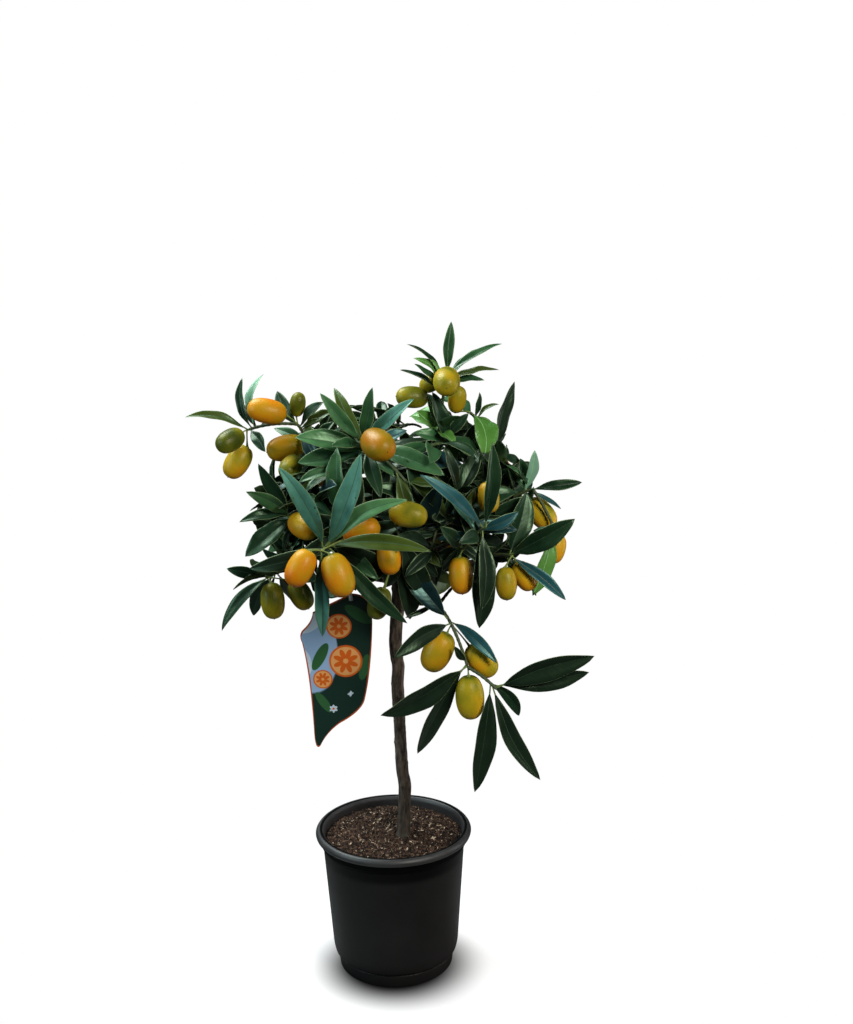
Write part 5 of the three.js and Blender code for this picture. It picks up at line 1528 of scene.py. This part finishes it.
shade_draw = np.random.default_rng(5)
for name in BOUGHS:
    lofts, worn, ripe, painted_light_values = [], [], [], []
    for mass_name, (base, middle, length, axis), (ripeness, bright) in fruit_list:
        if mass_name != name:
            continue
        rings, share = fruit_rings(middle, axis, length, 0.63 + 0.06 * shade_draw.random())
        skin = skin_ripeness(rings, share, middle, ripeness, int(length * 10) + len(ripe))
        top = middle - axis * (length / 2 - 0.6)
        parts = [capped_loft(rings), stalk_loft(base, top), calyx_loft(top, axis),
                 scar_loft(middle + axis * length / 2, axis)]
        for loft, slot in zip(parts, (0, 1, 1, 2)):
            worn.append(np.full(len(loft[1]), slot))
            ripe.append(np.zeros(len(loft[0])) if slot else skin)
            # The share of painted light and shade given to each fruit.
            painted_light_values.append(np.full(len(loft[0]), bright))
        lofts += parts
    if not lofts:
        continue
    ripe_and_painted_light = [("ripe", np.concatenate(ripe)), ("bright", np.concatenate(painted_light_values))]
    fruit_piece = surface_piece("fruit_" + name, *join_lofts(lofts), fruit_finishes, np.concatenate(worn),
                                attributes=ripe_and_painted_light)
    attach(fruit_piece, "root")

# -------------------------------------------------------------------------------------- studio
# A white light table that runs out of sight, with a painted soft shadow round where the pot stands, a
# white surround, a warm light at the upper right in front, a cool one behind the upper left, a pale
# window on the left and a low strip on the right.
FLOOR_RADIUS = 1300
FLOOR_FADE = (0.36, 0.14)  # metres from the middle at which the table is gone, and still whole
FLOOR_GLOW = 0.86
PAINTED_SHADOW_MIDDLE = (0.0, -0.012, 0.0)
PAINTED_SHADOW_REACH = (0.046, 0.106)
white_table, tree, shader = finish("white_light_table")
place = output_of(tree, "TexCoord", "Object")


def faded(middle, start, end):
    """A smooth step from 0 at one distance from a middle to 1 at another, over the table."""
    away = output_of(tree, "VectorMath", "Value", {0: place, 1: middle}, operation="DISTANCE")
    step = {"Value": away, "From Min": start, "From Max": end}
    return output_of(tree, "MapRange", "Result", step, interpolation_type="SMOOTHSTEP")


# A painted shadow round the pot: the table's colour and its glow darken towards the pot's foot.
ring = faded(PAINTED_SHADOW_MIDDLE, *PAINTED_SHADOW_REACH)
feed(tree, shader, {
    "Base Color": blend(tree, ring, (0, 0, 0, 1), (0.26, 0.26, 0.26, 1)),
    "Emission Color": blend(tree, ring, (0, 0, 0, 1), (1, 1, 1, 1)),
    "Emission Strength": maths(tree, "MULTIPLY", output_of(tree, "LightPath", "Is Camera Ray"), FLOOR_GLOW),
    "Alpha": faded((0, 0, 0), *FLOOR_FADE),
    "Roughness": 0.9,
    "Specular IOR Level": 0.1,
})
floor_rings = turned(np.array([[FLOOR_RADIUS, -2.0], [FLOOR_RADIUS, 0.0]]), 96)
floor = surface_piece("studio_floor", *capped_loft(floor_rings), [white_table], smooth=False)


def soft_light(name, place, aim, size, power, colour):
    """A rectangular area light at a place in metres, turned to face its aim."""
    light = bpy.data.lights.new(name, "AREA")
    light.shape = "RECTANGLE"
    light.size, light.size_y = size
    light.energy = power
    light.color = colour
    lamp = bpy.data.objects.new(name, light)
    bpy.context.scene.collection.objects.link(lamp)
    lamp.location = place
    lamp.rotation_euler = (Vector(aim) - Vector(place)).to_track_quat("-Z", "Y").to_euler()
    lamp.visible_camera = False


soft_light("key", (0.8, -1.2, 1.25), (0, 0, 0.45), (0.5, 0.5), 22, (1.0, 0.96, 0.88))
soft_light("sky", (-0.65, 0.40, 1.60), (0, 0, 0.45), (0.8, 0.8), 33, (0.88, 0.97, 0.96))
soft_light("left_window", (-1.3, -0.6, 0.95), (0, 0, 0.45), (0.6, 0.8), 10, (0.74, 0.93, 1.0))
soft_light("right_edge", (1.2, 0.2, 0.4), (0, 0, 0.1), (0.25, 1.0), 3, (1, 1, 1))

world = bpy.data.worlds.new("white_surround")
world.use_nodes = True
bpy.context.scene.world = world
surround = world.node_tree
dim = surround.nodes["Background"]
feed(surround, dim, {"Color": (0.92, 0.96, 1.0, 1), "Strength": 0.04})
seen = output_of(surround, "Background", "Background", {"Color": (1, 1, 1, 1)})
by_camera = output_of(surround, "LightPath", "Is Camera Ray")
either = {"Fac": by_camera, 1: dim.outputs["Background"], 2: seen}
chosen = output_of(surround, "MixShader", "Shader", either)
feed(surround, surround.nodes["World Output"], {"Surface": chosen})
bpy.context.scene.view_settings.view_transform = "Standard"
bpy.context.scene.view_settings.look = "None"

CAMERA_PLACE = (0.041, -1.40, 0.82)
CAMERA_PITCH = math.radians(13.0)
CAMERA_ROLL = math.radians(1.0)
lens = bpy.data.cameras.new("camera")
lens.lens = 50
camera = bpy.data.objects.new("camera", lens)
bpy.context.scene.collection.objects.link(camera)
forward = Vector((0, math.cos(CAMERA_PITCH), -math.sin(CAMERA_PITCH)))
right = Vector((1, 0, 0))
above = right.cross(forward)
rolled_right = right * math.cos(CAMERA_ROLL) - above * math.sin(CAMERA_ROLL)
rolled_up = above * math.cos(CAMERA_ROLL) + right * math.sin(CAMERA_ROLL)
turned_camera = Matrix((rolled_right, rolled_up, -forward)).transposed().to_4x4()
camera.matrix_world = Matrix.Translation(CAMERA_PLACE) @ turned_camera
bpy.context.scene.camera = camera
